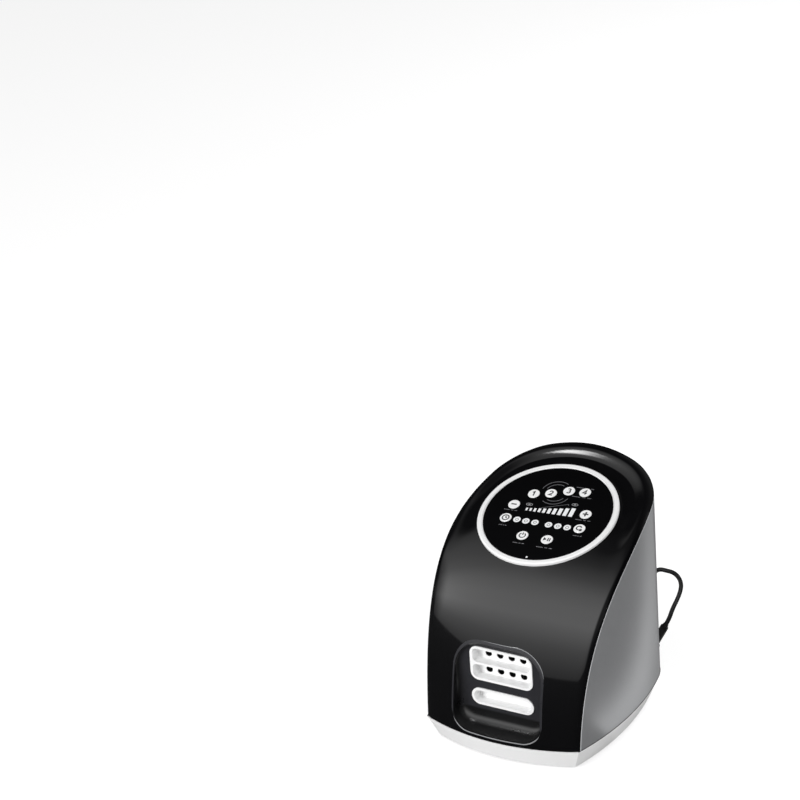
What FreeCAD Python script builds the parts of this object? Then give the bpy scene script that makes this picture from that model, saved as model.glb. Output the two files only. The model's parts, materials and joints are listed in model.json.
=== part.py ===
import FreeCAD, Part

import math
import os

from FreeCAD import Placement, Rotation, Vector

os.makedirs("parts", exist_ok=True)

# Tabletop air pump for compression sleeves, in millimetres, +Z up, standing on its feet.
# The model is written from the line through its two sharp front corners: x runs across, y runs
# from that line to the back. The finished pieces are shifted so that the origin lies under the
# middle of the housing.

# Plan of the housing: a bulged front, long slightly bowed sides and a rounded back.
front_width = 180.0
front_bulge = 19.2
side_radius = 338.0
side_flare = 16.5
side_turn = 13.1
quarter_radius = 67.0
quarter_turn = 74.5

# Front and top surface: one sweep from the front edge over a shoulder to the back edge.
# Each row is (y, z) of a control point above the base, near the sides and on the crown.
sweep_span = 125.0
sweep_side = [(37.5, 229.4), (200.5, 179.4), (260.5, 230.7)]
sweep_crown = [(-1.3, 264.7), (163.0, 189.1), (245.5, 242.5)]
sweep_run_on = -0.03
housing_reach = 300.0
plan_run_on = 9.0
bay_run = 15.0
overcut = 1.0
overlap = 0.2
tiny = 1e-3
no_angle = 1e-9

# Shells
cover_wall = 2.2
shell_wall = 2.5
ledge_width = 9.0
ledge_wall = 2.0
fit_gap = 0.1
slip_gap = 0.3

# Base tray and feet
foot_height = 2.5
foot_radius = 7.0
foot_sink = 1.5
foot_inset = 32.0
tray_height = 24.0
tray_taper = 10.9
tray_wall = 2.4
tray_floor = 3.0
parting_gap = 0.5
lip_height = 3.2
lip_wall = 1.8
lip_root = 3.0
screw_recess = 8.0
boss_clear = 6.0
boss_radius = 4.2
boss_height = 16.0
boss_end = 4.0
boss_rib = 2.0
boss_angles = [-12.0, 40.0]
vent_length = 34.0
vent_width = 3.0
vent_pitch = 7.0
vent_count = 6
filter_margin = 3.0
filter_height = 5.0

# Bay for the hose plugs
bay_half_width = 53.5
bay_bottom = 4.0
bay_top = 106.0
bay_bottom_radius = 22.0
bay_top_radius = 34.0
bay_back = 6.0
bay_wall = 2.2
bay_cove = 9.0
bay_flange = 8.0
bay_sill = 1.0
bay_hole_start = 5.0
bay_hole_reach = 20.0

# White outlet block with two rows of hose sockets
block_width = 73.4
block_height = 39.4
block_radius = 9.0
block_centre = 75.7
block_proud = 1.2
block_rim = 2.9
block_flange = 2.4
insert_flange = 1.8
block_back = 2.0
recess_depth = 11.5
recess_height = 15.4
recess_radius = 5.0
socket_radius = 3.9
socket_depth = 14.0
socket_wall = 1.6
socket_pitch = 13.6
socket_rows = [83.6, 64.6]
socket_columns = 4
barb_radius = 3.4
barb_bore = 2.0
barb_length = 10.0

# White parking slot below the block
slot_height = 19.2
slot_centre = 36.4
slot_depth = 11.0

# Round control dial on the shoulder
dial_y = 119.4
dial_tilt = 17.4
dial_radius = 75.5
dial_proud = 1.5
dial_reach = 30.0
valley_depth = 3.6
valley_width = 25.0
valley_lean = 0.42
bezel_width = 6.1
bezel_crest = 1.2
bezel_edge = 0.2
bezel_step = 3.5
bezel_seat = 1.2
bezel_skirt = 3.5
panel_thickness = 3.0
bezel_depth = 7.0
collar_width = 4.0
collar_depth = 4.6

# Keys and lights: places on the dial, to the right and up from its centre
key_radius = 6.3
key_clearance = 0.3
key_proud = 0.3
key_travel = 0.8
key_flange = 1.1
key_rim = 0.6
key_edge = 0.4
key_stem = 2.5
key_stem_drop = 2.8
key_places = {
    "key_mode_1": (-28.6, 23.6),
    "key_mode_2": (-10.8, 29.1),
    "key_mode_3": (6.6, 37.3),
    "key_mode_4": (24.4, 39.7),
    "key_pressure_down": (-42.0, 3.4),
    "key_pressure_up": (39.6, 9.8),
    "key_timer": (-41.6, -17.3),
    "key_programme": (42.6, -11.4),
    "key_power": (-11.9, -36.9),
    "key_start_pause": (16.4, -35.5),
}
lens_radius = 4.0
lens_rows = [[(-28.5, -16.7), (-18.1, -16.2), (-7.7, -15.6)], [(8.0, -14.9), (18.6, -14.2), (29.2, -13.4)]]
bar_count = 10
bar_first = (-25.3, -1.5)
bar_widths = (2.0, 4.5)
bar_heights = (4.0, 12.6)
bar_rise = 1.6
bar_gap = 2.3
bar_lean = 4.3
lens_base = 1.2
lens_strip = 4.0
led_size = (2.0, 1.6, 1.0)

# Key board under the dial
switch_side = 6.0
switch_height = 2.9
board_thickness = 1.6
key_board_inset = 7.5
bezel_post_radius = 3.2
bezel_post_inset = 11.5
bezel_post_root = 1.0
bezel_post_end = 1.4
screw_radius = 1.5
screw_head = 2.8
screw_head_height = 1.8

# Rotary valve behind the sockets, on its bracket
valve_y = 80.0
valve_width = 70.0
valve_height = 46.0
valve_depth = 22.0
valve_cover_depth = 4.0
chamber_radius = 20.0
chamber_depth = 9.0
rotor_thickness = 6.0
rotor_lift = 1.0
rotor_shaft = 2.5
shaft_seat = 8.0
port_radius = 3.0
shaft_clearance = 0.05
motor_radius = 21.0
motor_depth = 20.0
motor_ear = 27.0
ear_round = 4.5
ear_sheet = 2.0
valve_inlet_setback = 5.0
valve_gallery = 8.0
hose_wall = 1.8
hose_seat = 8.0
bracket_sheet = 2.0
bracket_foot = 12.0

# Linear piston compressor on rubber mounts
pump_y = 150.0
pump_axis = 45.0
pump_side_room = 43.0
pump_half_depth = 37.0
pump_sheet = 4.0
mount_radius = 7.0
mount_height = 9.0
mount_inset = 9.0
mount_y = 28.0
piston_radius = 15.0
piston_length = 8.0
piston_gap = 0.05
piston_stroke = 3.0
piston_clear = 1.0
end_wall_width = 48.0
head_radius = 21.0
head_length = 19.0
head_step = 1.5
head_wall = 4.0
head_flange = 4.0
head_screw_inset = 4.0
outlet_rise = 10.0
rod_radius = 4.0
magnet_size = (44.0, 22.0, 28.0)
air_gap = 1.5
core_leg = (18.0, 13.0, 22.0)
core_yoke = 7.0
coil_wall = 5.5
yoke_margin = 1.0
pump_lid_wall = 2.0
lid_rod_gap = 1.0
lid_notch_gap = 1.0
lid_notch_height = 4.0

# Hose from the compressor to the valve, by way of the left wall
supply_inset = 4.0
supply_turn = 14.0
supply_bow = 1.0
supply_bends = [(15.0, -9.0), (-17.0, 12.0)]

# Main board in its guides, on the right of the compressor
main_board_inset = 11.0
main_board_y = (58.0, 150.0)
main_board_z = (30.0, 98.0)
guide_side = 8.0
guide_height = 40.0
# components on the board: (y, z) of the low corner, then depth, width and height
relay = ((40.0, 36.0), (3.0, 14.0, 14.0))
filter_chokes = [((66.0, 30.0), (4.5, 10.0, 16.0)), ((80.0, 30.0), (4.5, 10.0, 16.0))]
terminal_block = ((64.0, 4.0), (6.0, 22.0, 8.0))
controller = ((14.0, 54.0), (6.0, 16.0, 9.0))
dial_socket = ((70.0, 55.0), (9.0, 12.0, 12.0))
capacitor_radius = 5.0
capacitor_height = 14.0
capacitor_places = [(16.0, 40.0), (30.0, 40.0)]
sensor_body = ((42.0, 12.0), (6.0, 12.0, 12.0))
sensor_port_radius = 1.6
sensor_port_length = 5.0

# Flat cable from the key board to the main board
ribbon_width = 18.0
ribbon_thickness = 0.8
ribbon_start = 48.0
ribbon_drops = (3.0, 17.0, 47.0)
ribbon_offset = 8.0
ribbon_rise = 26.0

# Power inlet, plug and lead; the lead's route is in the finished part's frame
inlet_inset = 19.5
inlet_z = 41.0
inlet_tilt = 18.0
inlet_radius = 6.5
inlet_inside = 14.0
inlet_outside = 2.0
inlet_seat = 0.5
inlet_bore = 40.0
inlet_lead_radius = 1.5
inlet_lead_run = 14.0
inlet_lead_end = (5.0, 4.0, 20.0)
inlet_lead_bend = (12.0, 2.0)
jack_radius = 2.75
plug_radius = 4.5
plug_length = 26.0
plug_pin = 9.5
plug_grooves = 3
groove_pitch = 2.4
groove_width = 1.2
groove_depth = 0.6
relief_radius = 3.6
relief_length = 4.1
relief_end = 0.5
lead_diameter = 4.8
lead_length = 1436.0
lead_route = [
    (70.5, 136.58, 50.92),
    (70.5, 144.28, 53.42),
    (69.9, 154.0, 60.8),
    (71.7, 163.4, 69.0),
    (72.5, 170.5, 77.1),
    (70.0, 175.9, 82.9),
    (64.5, 179.7, 87.2),
    (57.6, 181.6, 89.5),
    (49.4, 182.9, 89.0),
    (40.3, 185.9, 87.5),
    (32.1, 189.0, 81.9),
    (26.5, 190.1, 70.0),
    (22.6, 190.4, 54.9),
    (18.9, 190.5, 39.0),
    (14.5, 190.9, 24.0),
    (8.7, 191.3, 11.1),
    (1.7, 191.2, 4.6),
    (-6.0, 190.2, 2.5),
    (-14.0, 188.9, 2.4),
]
coil_centre = (-14.0, 160.0)
coil_inner = 21.7
coil_columns = 2
coil_layers = 4
tail_route = [
    (-14.0, 188.9, 7.2),
    (-23.0, 189.6, 7.4),
    (-32.5, 191.9, 8.0),
    (-42.5, 195.8, 9.2),
    (-53.0, 199.4, 10.7),
    (-63.5, 200.4, 12.2),
    (-72.5, 197.4, 13.3),
    (-78.3, 190.4, 13.9),
    (-80.0, 181.2, 14.0),
]
adapter_size = (42.0, 58.0, 28.0)
adapter_end = 173.0
adapter_x = -80.0
adapter_edge = 3.0
adapter_relief = 8.0
adapter_relief_radius = 4.0
adapter_relief_end = 0.4
coil_edge = 0.1
blade_size = (1.5, 17.0, 6.3)
blade_spacing = 12.7
blade_setback = 17.0


# ---------------------------------------------------------------- plan and sweep

def unit(angle):
    return Vector(math.cos(math.radians(angle)), math.sin(math.radians(angle)), 0)


side_centre = Vector(front_width / 2, 0, 0) - unit(-side_flare) * side_radius
quarter_centre = side_centre + unit(side_turn) * (side_radius - quarter_radius)
rear_radius = quarter_radius + quarter_centre.x / math.cos(math.radians(quarter_turn))
rear_centre = quarter_centre - unit(quarter_turn) * (rear_radius - quarter_radius)
plan_depth = rear_centre.y + rear_radius
front_radius = ((front_width / 2) ** 2 + front_bulge ** 2) / (2 * front_bulge)
front_centre = Vector(0, front_radius - front_bulge, 0)
rim_top = foot_height + tray_height + parting_gap
main_board_x = front_width / 2 - main_board_inset
pump_half_length = front_width / 2 - pump_side_room
mount_x = pump_half_length - mount_inset
inlet_x = front_width / 2 - inlet_inset
frame_shift = Vector(0, (front_bulge - plan_depth) / 2, 0)


def save(node, shape):
    """Write one piece to its own file, shifted to the finished part's frame."""
    moved = shape.copy()
    moved.translate(frame_shift)
    moved.exportStep("parts/" + node + ".step")


def arc(start, middle, end):
    return Part.Arc(start, middle, end).toShape()


def plan_point(angle, inset):
    """A point of the right half of the plan, by the angle its wall faces."""
    if angle <= side_turn:
        return side_centre + unit(angle) * (side_radius - inset)
    if angle <= quarter_turn:
        return quarter_centre + unit(angle) * (quarter_radius - inset)
    return rear_centre + unit(angle) * (rear_radius - inset)


def plan_arcs(first, inset, z):
    """The walls from one front corner round the back to the other."""
    breaks = [first, side_turn, quarter_turn, 90.0]
    lift = Vector(0, 0, z)
    right = []
    for start, end in zip(breaks, breaks[1:]):
        middle = (start + end) / 2
        right.append([plan_point(a, inset) + lift for a in (start + no_angle, middle, end)])
    left = [[Vector(-p.x, p.y, p.z) for p in reversed(row)] for row in reversed(right)]
    return [arc(*row) for row in right + left]


def open_plan(inset, z):
    """Plan that runs on ahead of the front corners, to be trimmed by the sweep."""
    arcs = plan_arcs(-side_flare - plan_run_on, inset, z)
    first = arcs[0].Vertexes[0].Point
    last = arcs[-1].Vertexes[-1].Point
    return Part.Wire(arcs + [Part.makeLine(last, first)])


def closed_plan(inset, z):
    """Plan with the bulged front, as it is along the base."""
    reach = side_radius - inset
    bow = front_radius - inset
    span = front_centre - side_centre
    along = (reach ** 2 - bow ** 2 + span.Length ** 2) / (2 * span.Length)
    aside = math.sqrt(reach ** 2 - along ** 2)
    toward = span / span.Length
    corner = side_centre + toward * along + Vector(toward.y, -toward.x, 0) * aside
    facing = math.degrees(math.atan2(corner.y - side_centre.y, corner.x - side_centre.x))
    arcs = plan_arcs(facing, inset, z)
    lift = Vector(0, 0, z)
    front = arc(Vector(-corner.x, corner.y, z), front_centre - Vector(0, bow, 0) + lift, corner + lift)
    return Part.Wire(arcs + [front])


def prism(wire, height):
    return Part.Face(wire).extrude(Vector(0, 0, height))


def run_on(points, t):
    """The same cubic curve, starting a little before its first point."""
    rows = [[Vector(0, y, z) for y, z in points]]
    while len(rows[-1]) > 1:
        row = rows[-1]
        rows.append([a * (1 - t) + b * t for a, b in zip(row, row[1:])])
    return [row[-1] for row in reversed(rows)]


side_curve = [(front_bulge * ((2 * sweep_span / front_width) ** 2 - 1), 0.0)] + sweep_side
crown_curve = [(-front_bulge, 0.0)] + sweep_crown


def behind_sweep(sink):
    """Everything behind and below the front and top surface, sunk into the housing by a wall."""
    surface = Part.BezierSurface()
    surface.increase(3, 2)
    drop = Vector(0, sink, rim_top - sink)
    side_points = run_on(side_curve, sweep_run_on)
    crown_points = run_on(crown_curve, sweep_run_on)
    for row, (side, crown) in enumerate(zip(side_points, crown_points), 1):
        surface.setPole(row, 1, side + drop - Vector(sweep_span, 0, 0))
        surface.setPole(row, 2, crown * 2 - side + drop)
        surface.setPole(row, 3, side + drop + Vector(sweep_span, 0, 0))
    return surface.toShape().extrude(Vector(0, housing_reach, -housing_reach))


def bezier_at(points, t):
    return run_on(points, t)[0]


def sweep_height(x, y):
    """Height above the floor of the front and top surface at a place in plan."""
    share = (x / sweep_span) ** 2
    mixed = [(s[0] * share + c[0] * (1 - share), s[1] * share + c[1] * (1 - share))
             for s, c in zip(side_curve, crown_curve)]
    low, high = 0.0, 1.0
    for step in range(40):
        middle = (low + high) / 2
        if bezier_at(mixed, middle).y < y:
            low = middle
        else:
            high = middle
    return bezier_at(mixed, low).z + rim_top


def box(x, y, z):
    """A box from three (low, high) pairs."""
    return Part.makeBox(x[1] - x[0], y[1] - y[0], z[1] - z[0], Vector(x[0], y[0], z[0]))


def cylinder(radius, start, end):
    axis = Vector(*end) - Vector(*start)
    return Part.makeCylinder(radius, axis.Length, Vector(*start), axis)


def tube(outer, inner, start, end):
    return cylinder(outer, start, end).cut(cylinder(inner, start, end))


def joined(shapes):
    result = shapes[0]
    if len(shapes) > 1:
        result = shapes[0].fuse(shapes[1:])
    return result.removeSplitter()


def group(shapes):
    return Part.makeCompound(shapes)


def rounded_rectangle(width, z_low, z_high, low_radius, high_radius, y):
    """Upright outline in a plane of constant y, with its own radius below and above."""
    half = width / 2
    turn = math.sqrt(0.5)
    edges = []
    corners = [(1, z_low, low_radius, -1), (1, z_high, high_radius, 1)]
    points = []
    for side, z, r, up in corners:
        cx, cz = half - r, z - up * r
        ends = [Vector(half, y, cz), Vector(cx + r * turn, y, cz + up * r * turn), Vector(cx, y, z)]
        points.append(ends if up > 0 else ends[::-1])
    low, high = points
    mirror = lambda p: Vector(-p.x, p.y, p.z)
    edges.append(arc(*low))
    if (high[0] - low[2]).Length > tiny:
        edges.append(Part.makeLine(low[2], high[0]))
    edges.append(arc(*high))
    edges.append(Part.makeLine(high[2], mirror(high[2])))
    edges.append(arc(*[mirror(p) for p in high[::-1]]))
    if (high[0] - low[2]).Length > tiny:
        edges.append(Part.makeLine(mirror(high[0]), mirror(low[2])))
    edges.append(arc(*[mirror(p) for p in low[::-1]]))
    edges.append(Part.makeLine(mirror(low[0]), low[0]))
    return Part.Wire(edges)


def upright(outline, depth):
    return Part.Face(outline).extrude(Vector(0, depth, 0))


# ---------------------------------------------------------------- housing

def bay_outline(inset, y):
    return rounded_rectangle(2 * (bay_half_width - inset), rim_top + bay_bottom + inset,
                             rim_top + bay_top - inset, bay_bottom_radius - inset,
                             bay_top_radius - inset, y)


ahead = -front_bulge - bay_run
body_top = rim_top + housing_reach
plan_solid = prism(open_plan(0, rim_top), housing_reach)
outer_body = plan_solid.common(behind_sweep(0))
dial_z = sweep_height(dial_radius, dial_y) + dial_proud
dial_place = Placement(Vector(0, dial_y, dial_z), Rotation(Vector(1, 0, 0), dial_tilt))


def on_dial(shape):
    """Set a shape drawn on the flat dial, face up, into its tilted place."""
    placed = shape.copy()
    placed.Placement = dial_place.multiply(shape.Placement)
    return placed


def disc(radius, low, high, u=0.0, v=0.0):
    return Part.makeCylinder(radius, high - low, Vector(u, v, low))


bore_radius = dial_radius - bezel_skirt + slip_gap
seat_low = -dial_proud - bezel_seat


def dial_valley(sink):
    """Ring-shaped hollow round the dial; only its back part lies below the cover's surface."""
    inner = dial_radius
    top = dial_reach
    start = Vector(inner, 0, seat_low / 2 - sink)
    middle = Vector(inner + valley_lean * valley_width, 0, -valley_depth - sink)
    end = Vector(inner + valley_width, 0, dial_proud - sink)
    sides = [Part.makeLine(end, Vector(end.x, 0, top)), Part.makeLine(Vector(end.x, 0, top),
             Vector(inner, 0, top)), Part.makeLine(Vector(inner, 0, top), start)]
    section = Part.Face(Part.Wire([arc(start, middle, end)] + sides))
    hollow = section.revolve(Vector(0, 0, 0), Vector(0, 0, 1), 360)
    hollow.rotate(Vector(0, 0, 0), Vector(0, 0, 1), -90)
    return on_dial(hollow)


def front_cover():
    """Glossy sheet that runs up the front and over the top, with the dial's seat and the bay's mouth."""
    inside = behind_sweep(cover_wall).cut(dial_valley(cover_wall))
    sheet = outer_body.cut(dial_valley(0)).cut(inside)
    collar = disc(bore_radius + collar_width, seat_low - collar_depth, seat_low)
    collar = on_dial(collar).common(outer_body).cut(dial_valley(0))
    sheet = joined([sheet, collar])
    sheet = sheet.cut(on_dial(disc(dial_radius + slip_gap, seat_low, dial_reach)))
    sheet = sheet.cut(on_dial(disc(bore_radius, -dial_reach, dial_reach)))
    return sheet.cut(upright(bay_outline(0, ahead), bay_back + bay_wall - ahead + overcut))


def rear_shell():
    """Silver wall round the sides and back, with the ledge that carries the front cover."""
    inside = behind_sweep(cover_wall)
    wall = plan_solid.cut(prism(open_plan(shell_wall, rim_top), housing_reach)).common(inside)
    ledge = plan_solid.cut(prism(open_plan(ledge_width, rim_top), housing_reach)).common(inside)
    ledge = ledge.cut(behind_sweep(cover_wall + ledge_wall))
    above_lip = box((-front_width, front_width), (ahead, 2 * plan_depth),
                    (rim_top + lip_height + slip_gap, body_top))
    ledge = ledge.common(above_lip)
    shell = joined([wall, ledge] + [shell_boss(angle, side) for angle, side in boss_places])
    shell = shell.cut(cylinder(inlet_radius + fit_gap, inlet_point(-inlet_bore), inlet_point(inlet_bore)))
    for angle, side in boss_places:
        spot = boss_spot(angle, side)
        top = rim_top + boss_height - boss_end
        shell = shell.cut(cylinder(screw_radius, spot(rim_top - overcut), spot(top)))
    return shell


boss_inset = tray_taper + tray_wall + boss_clear
boss_places = [(angle, side) for angle in boss_angles for side in (1, -1)]


def boss_spot(angle, side, inset=None):
    point = plan_point(angle, boss_inset if inset is None else inset)
    return lambda z: (side * point.x, point.y, z)


def shell_boss(angle, side):
    """Screw boss standing inside the shell, tied to the wall by a rib."""
    spot = boss_spot(angle, side)
    boss = cylinder(boss_radius, spot(rim_top), spot(rim_top + boss_height))
    reach = boss_inset - shell_wall / 2
    lift = lip_height + slip_gap
    rib = Part.makeBox(reach, boss_rib, boss_height - lift, Vector(0, -boss_rib / 2, lift))
    rib.rotate(Vector(0, 0, 0), Vector(0, 0, 1), angle if side > 0 else 180.0 - angle)
    rib.translate(Vector(*spot(rim_top)))
    return boss.fuse(rib)


def port_bay():
    """Black tub behind the front cover, with a coved back that leads down to its lip."""
    depth = bay_back + bay_wall - ahead
    tub = upright(bay_outline(fit_gap, ahead), depth).common(outer_body)
    flange = upright(bay_outline(-bay_flange, ahead), depth)
    flange = flange.cut(behind_sweep(cover_wall + fit_gap + bay_wall))
    flange = flange.common(behind_sweep(cover_wall + fit_gap))
    above = box((-front_width, front_width), (ahead, depth), (rim_top + bay_bottom + bay_sill, body_top))
    tub = joined([tub, flange.common(above)])
    pocket = upright(bay_outline(bay_wall, ahead - overcut), bay_back - ahead + overcut)
    back_edges = [e for e in pocket.Edges
                  if all(abs(v.Point.y - bay_back) < tiny for v in e.Vertexes)]
    tub = tub.cut(pocket.makeFillet(bay_cove, back_edges))
    for low, high, radius in (block_span(fit_gap), slot_span(fit_gap)):
        hole = rounded_rectangle(block_width + 2 * fit_gap, low, high, radius, radius,
                                 bay_back - bay_hole_start)
        tub = tub.cut(upright(hole, bay_hole_reach))
    return tub


def block_span(grow):
    middle = rim_top + block_centre
    return middle - block_height / 2 - grow, middle + block_height / 2 + grow, block_radius + grow


def slot_span(grow):
    middle = rim_top + slot_centre
    half = slot_height / 2 + grow
    return middle - half, middle + half, half - tiny


block_front = bay_back - block_proud
recess_floor = block_front + recess_depth
block_rear = recess_floor + block_back
barb_start = recess_floor + socket_depth + socket_wall
barb_end = barb_start + barb_length
socket_places = [((column - (socket_columns - 1) / 2) * socket_pitch, rim_top + row)
                 for row in socket_rows for column in range(socket_columns)]


def framed_insert(span, depth):
    """Block set into the bay's back from behind, with a flange that stops it."""
    low, high, radius = span(0)
    body = upright(rounded_rectangle(block_width, low, high, radius, radius, block_front), depth)
    low, high, radius = span(block_flange)
    rim = rounded_rectangle(block_width + 2 * block_flange, low, high, radius, radius,
                            bay_back + bay_wall + fit_gap)
    return joined([body, upright(rim, insert_flange)])


def outlet_block():
    block = framed_insert(block_span, block_rear - block_front)
    width = block_width - 2 * block_rim
    offset = recess_height / 2 + (block_height / 2 - block_rim - recess_height)
    for middle in (rim_top + block_centre - offset, rim_top + block_centre + offset):
        half = recess_height / 2
        mouth = rounded_rectangle(width, middle - half, middle + half, recess_radius, recess_radius,
                                  block_front - overcut)
        block = block.cut(upright(mouth, recess_depth + overcut))
    parts = [block]
    for x, z in socket_places:
        parts.append(cylinder(socket_radius + socket_wall, (x, block_rear - overcut, z), (x, barb_start, z)))
        parts.append(cylinder(barb_radius, (x, barb_start - overcut, z), (x, barb_end, z)))
    block = joined(parts)
    for x, z in socket_places:
        block = block.cut(cylinder(socket_radius, (x, recess_floor - overcut, z),
                                   (x, recess_floor + socket_depth, z)))
        block = block.cut(cylinder(barb_bore, (x, recess_floor, z), (x, barb_end + overcut, z)))
    return block


def parking_slot():
    block = framed_insert(slot_span, slot_depth + block_back)
    low, high, radius = slot_span(-block_rim)
    width = block_width - 2 * block_rim
    mouth = rounded_rectangle(width, low, high, radius, radius, block_front - overcut)
    return block.cut(upright(mouth, slot_depth + overcut))


# ---------------------------------------------------------------- base

def foot_places():
    return [Vector(*boss_spot(angle, side, foot_inset)(0)) for angle, side in boss_places]


def base_tray():
    """White tapered tray with the floor that carries everything inside."""
    top = rim_top - parting_gap
    outer = Part.makeLoft([closed_plan(tray_taper, foot_height), closed_plan(0, top)], True, True)
    inner = Part.makeLoft([closed_plan(tray_taper + tray_wall, foot_height),
                           closed_plan(tray_wall, top)], True, True)
    floor_top = foot_height + tray_floor
    above = box((-front_width, front_width), (-front_width, 2 * plan_depth), (floor_top, top + overcut))
    tray = outer.cut(inner.common(above))
    lip_inset = max(shell_wall, cover_wall) + slip_gap
    lip = prism(closed_plan(lip_inset, top - lip_root), lip_root + parting_gap + lip_height)
    lip = lip.cut(prism(closed_plan(lip_inset + lip_wall, top - lip_root - overcut), tray_height))
    ledge = prism(closed_plan(tray_wall / 2, top - lip_root), lip_root)
    ledge = ledge.cut(prism(closed_plan(lip_inset + lip_wall, top - lip_root - overcut), tray_height))
    parts = [tray, lip, ledge]
    for angle, side in boss_places:
        spot = boss_spot(angle, side)
        parts.append(cylinder(boss_radius, spot(foot_height + overcut), spot(rim_top - slip_gap)))
    for y in main_board_y:
        post = box((main_board_x - guide_side / 2, main_board_x + guide_side / 2),
                   (y - guide_side / 2, y + guide_side / 2), (floor_top - overcut, floor_top + guide_height))
        parts.append(post)
    tray = joined(parts)
    half = board_thickness / 2 + fit_gap
    slot = box((main_board_x - half, main_board_x + half),
               (main_board_y[0] - fit_gap, main_board_y[1] + fit_gap),
               (main_board_z[0], main_board_z[1]))
    tray = tray.cut(slot)
    for place in foot_places():
        tray = tray.cut(Part.makeCylinder(foot_radius + fit_gap, foot_sink + overcut,
                                          place + Vector(0, 0, foot_height - overcut)))
    for angle, side in boss_places:
        spot = boss_spot(angle, side)
        tray = tray.cut(cylinder(screw_head + fit_gap, spot(0), spot(foot_height + screw_recess)))
        tray = tray.cut(cylinder(screw_radius + fit_gap, spot(0), spot(rim_top + overcut)))
    for number in range(vent_count):
        y = pump_y + (number - (vent_count - 1) / 2) * vent_pitch
        tray = tray.cut(box((-vent_length / 2, vent_length / 2), (y - vent_width / 2, y + vent_width / 2),
                            (0, floor_top + overcut)))
    return tray


def base_screws():
    screws = []
    for angle, side in boss_places:
        spot = boss_spot(angle, side)
        seat = foot_height + screw_recess
        tip = rim_top + boss_height - boss_end - overcut
        shank = cylinder(screw_radius - fit_gap, spot(seat - overcut), spot(tip))
        head = cylinder(screw_head, spot(seat - screw_head_height), spot(seat))
        screws.append(head.fuse(shank))
    return group(screws)


def intake_filter():
    floor_top = foot_height + tray_floor
    half_x = vent_length / 2 + filter_margin
    half_y = (vent_count - 1) / 2 * vent_pitch + vent_width / 2 + filter_margin
    return box((-half_x, half_x), (pump_y - half_y, pump_y + half_y), (floor_top, floor_top + filter_height))


# ---------------------------------------------------------------- dial

panel_radius = dial_radius - bezel_width - fit_gap
panel_low = -panel_thickness
flange_top = panel_low - slip_gap
stem_low = flange_top - key_flange - key_stem_drop
board_high = stem_low - key_travel - slip_gap - switch_height


def ring(points):
    """Turn a profile of (radius, height) points about the dial's axis."""
    wire = Part.makePolygon([Vector(r, 0, z) for r, z in points + points[:1]])
    return Part.Face(wire).revolve(Vector(0, 0, 0), Vector(0, 0, 1), 360)


def dial_bezel():
    inner = panel_radius + fit_gap
    skirt = dial_radius - bezel_skirt
    crest = bezel_crest
    shoulder = (dial_radius - inner) / 4
    low = -bezel_depth
    body = ring([
        (inner, 2 * bezel_edge), (inner + shoulder / 2, crest), (dial_radius - shoulder, crest),
        (dial_radius, bezel_edge), (dial_radius, seat_low + fit_gap), (skirt, seat_low + fit_gap),
        (skirt, low), (inner - bezel_step, low), (inner - bezel_step, panel_low - fit_gap),
        (inner, panel_low - fit_gap),
    ])
    posts = []
    for u, v in bezel_posts:
        posts.append(disc(bezel_post_radius, board_high, panel_low - bezel_post_root, u, v))
    body = joined([body] + posts)
    for u, v in bezel_posts:
        body = body.cut(disc(screw_radius, board_high - overcut, post_bore_end, u, v))
    return on_dial(body)


post_circle = dial_radius - bezel_post_inset
post_bore_end = panel_low - bezel_post_end
bezel_posts = [(post_circle * math.cos(math.radians(angle)), post_circle * math.sin(math.radians(angle)))
               for angle in (45, 135, 225, 315)]


def bar_shape(number):
    """Width and height of one bar, and how far along its row it stands."""
    share = number / (bar_count - 1)
    width = bar_widths[0] + (bar_widths[1] - bar_widths[0]) * share
    height = bar_heights[0] + (bar_heights[1] - bar_heights[0]) * share ** bar_rise
    along = number * (bar_gap + (bar_widths[0] + width) / 2)
    return width, height, along


def on_bar_row(shape):
    """Set a shape drawn along a level row into the leaning row of bars."""
    shape.rotate(Vector(0, 0, 0), Vector(0, 0, 1), bar_lean)
    shape.translate(Vector(bar_first[0], bar_first[1], 0))
    return shape


def bar_box(number, grow, low, high):
    """One bar of the level display, upright on its row."""
    width, height, along = bar_shape(number)
    return on_bar_row(Part.makeBox(width + 2 * grow, height + 2 * grow, high - low,
                                   Vector(along - width / 2 - grow, -grow, low)))


def dial_panel():
    panel = disc(panel_radius, panel_low, 0)
    holes = [disc(key_radius + key_clearance, panel_low - overcut, 1, u, v) for u, v in key_places.values()]
    for row in lens_rows:
        holes += [disc(lens_radius + fit_gap, panel_low - overcut, 1, u, v) for u, v in row]
    holes += [bar_box(number, fit_gap, panel_low - overcut, 1) for number in range(bar_count)]
    return on_dial(panel.cut(holes))


def level_bars():
    """Bars of a light guide, joined by the strip behind the panel."""
    low = panel_low - fit_gap
    bars = [bar_box(number, 0, low - overlap, 0) for number in range(bar_count)]
    width, height, along = bar_shape(bar_count - 1)
    right = along + width / 2
    left = -bar_widths[0] / 2
    corners = [Vector(left, 0, low - lens_base), Vector(right, 0, low - lens_base),
               Vector(right, height, low - lens_base), Vector(left, bar_heights[0], low - lens_base)]
    strip = Part.Face(Part.makePolygon(corners + corners[:1])).extrude(Vector(0, 0, lens_base))
    return on_dial(joined([on_bar_row(strip)] + bars))


def indicator_lenses():
    low = panel_low - fit_gap
    guides = []
    for row in lens_rows:
        studs = [disc(lens_radius, low - overlap, 0, u, v) for u, v in row]
        (u0, v0), (u1, v1) = row[0], row[-1]
        strip = Part.makeBox(math.hypot(u1 - u0, v1 - v0), lens_strip, lens_base,
                             Vector(0, -lens_strip / 2, 0))
        strip.rotate(Vector(0, 0, 0), Vector(0, 0, 1), math.degrees(math.atan2(v1 - v0, u1 - u0)))
        strip.translate(Vector(u0, v0, low - lens_base))
        guides.append(joined([strip] + studs))
    return on_dial(group(guides))


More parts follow.
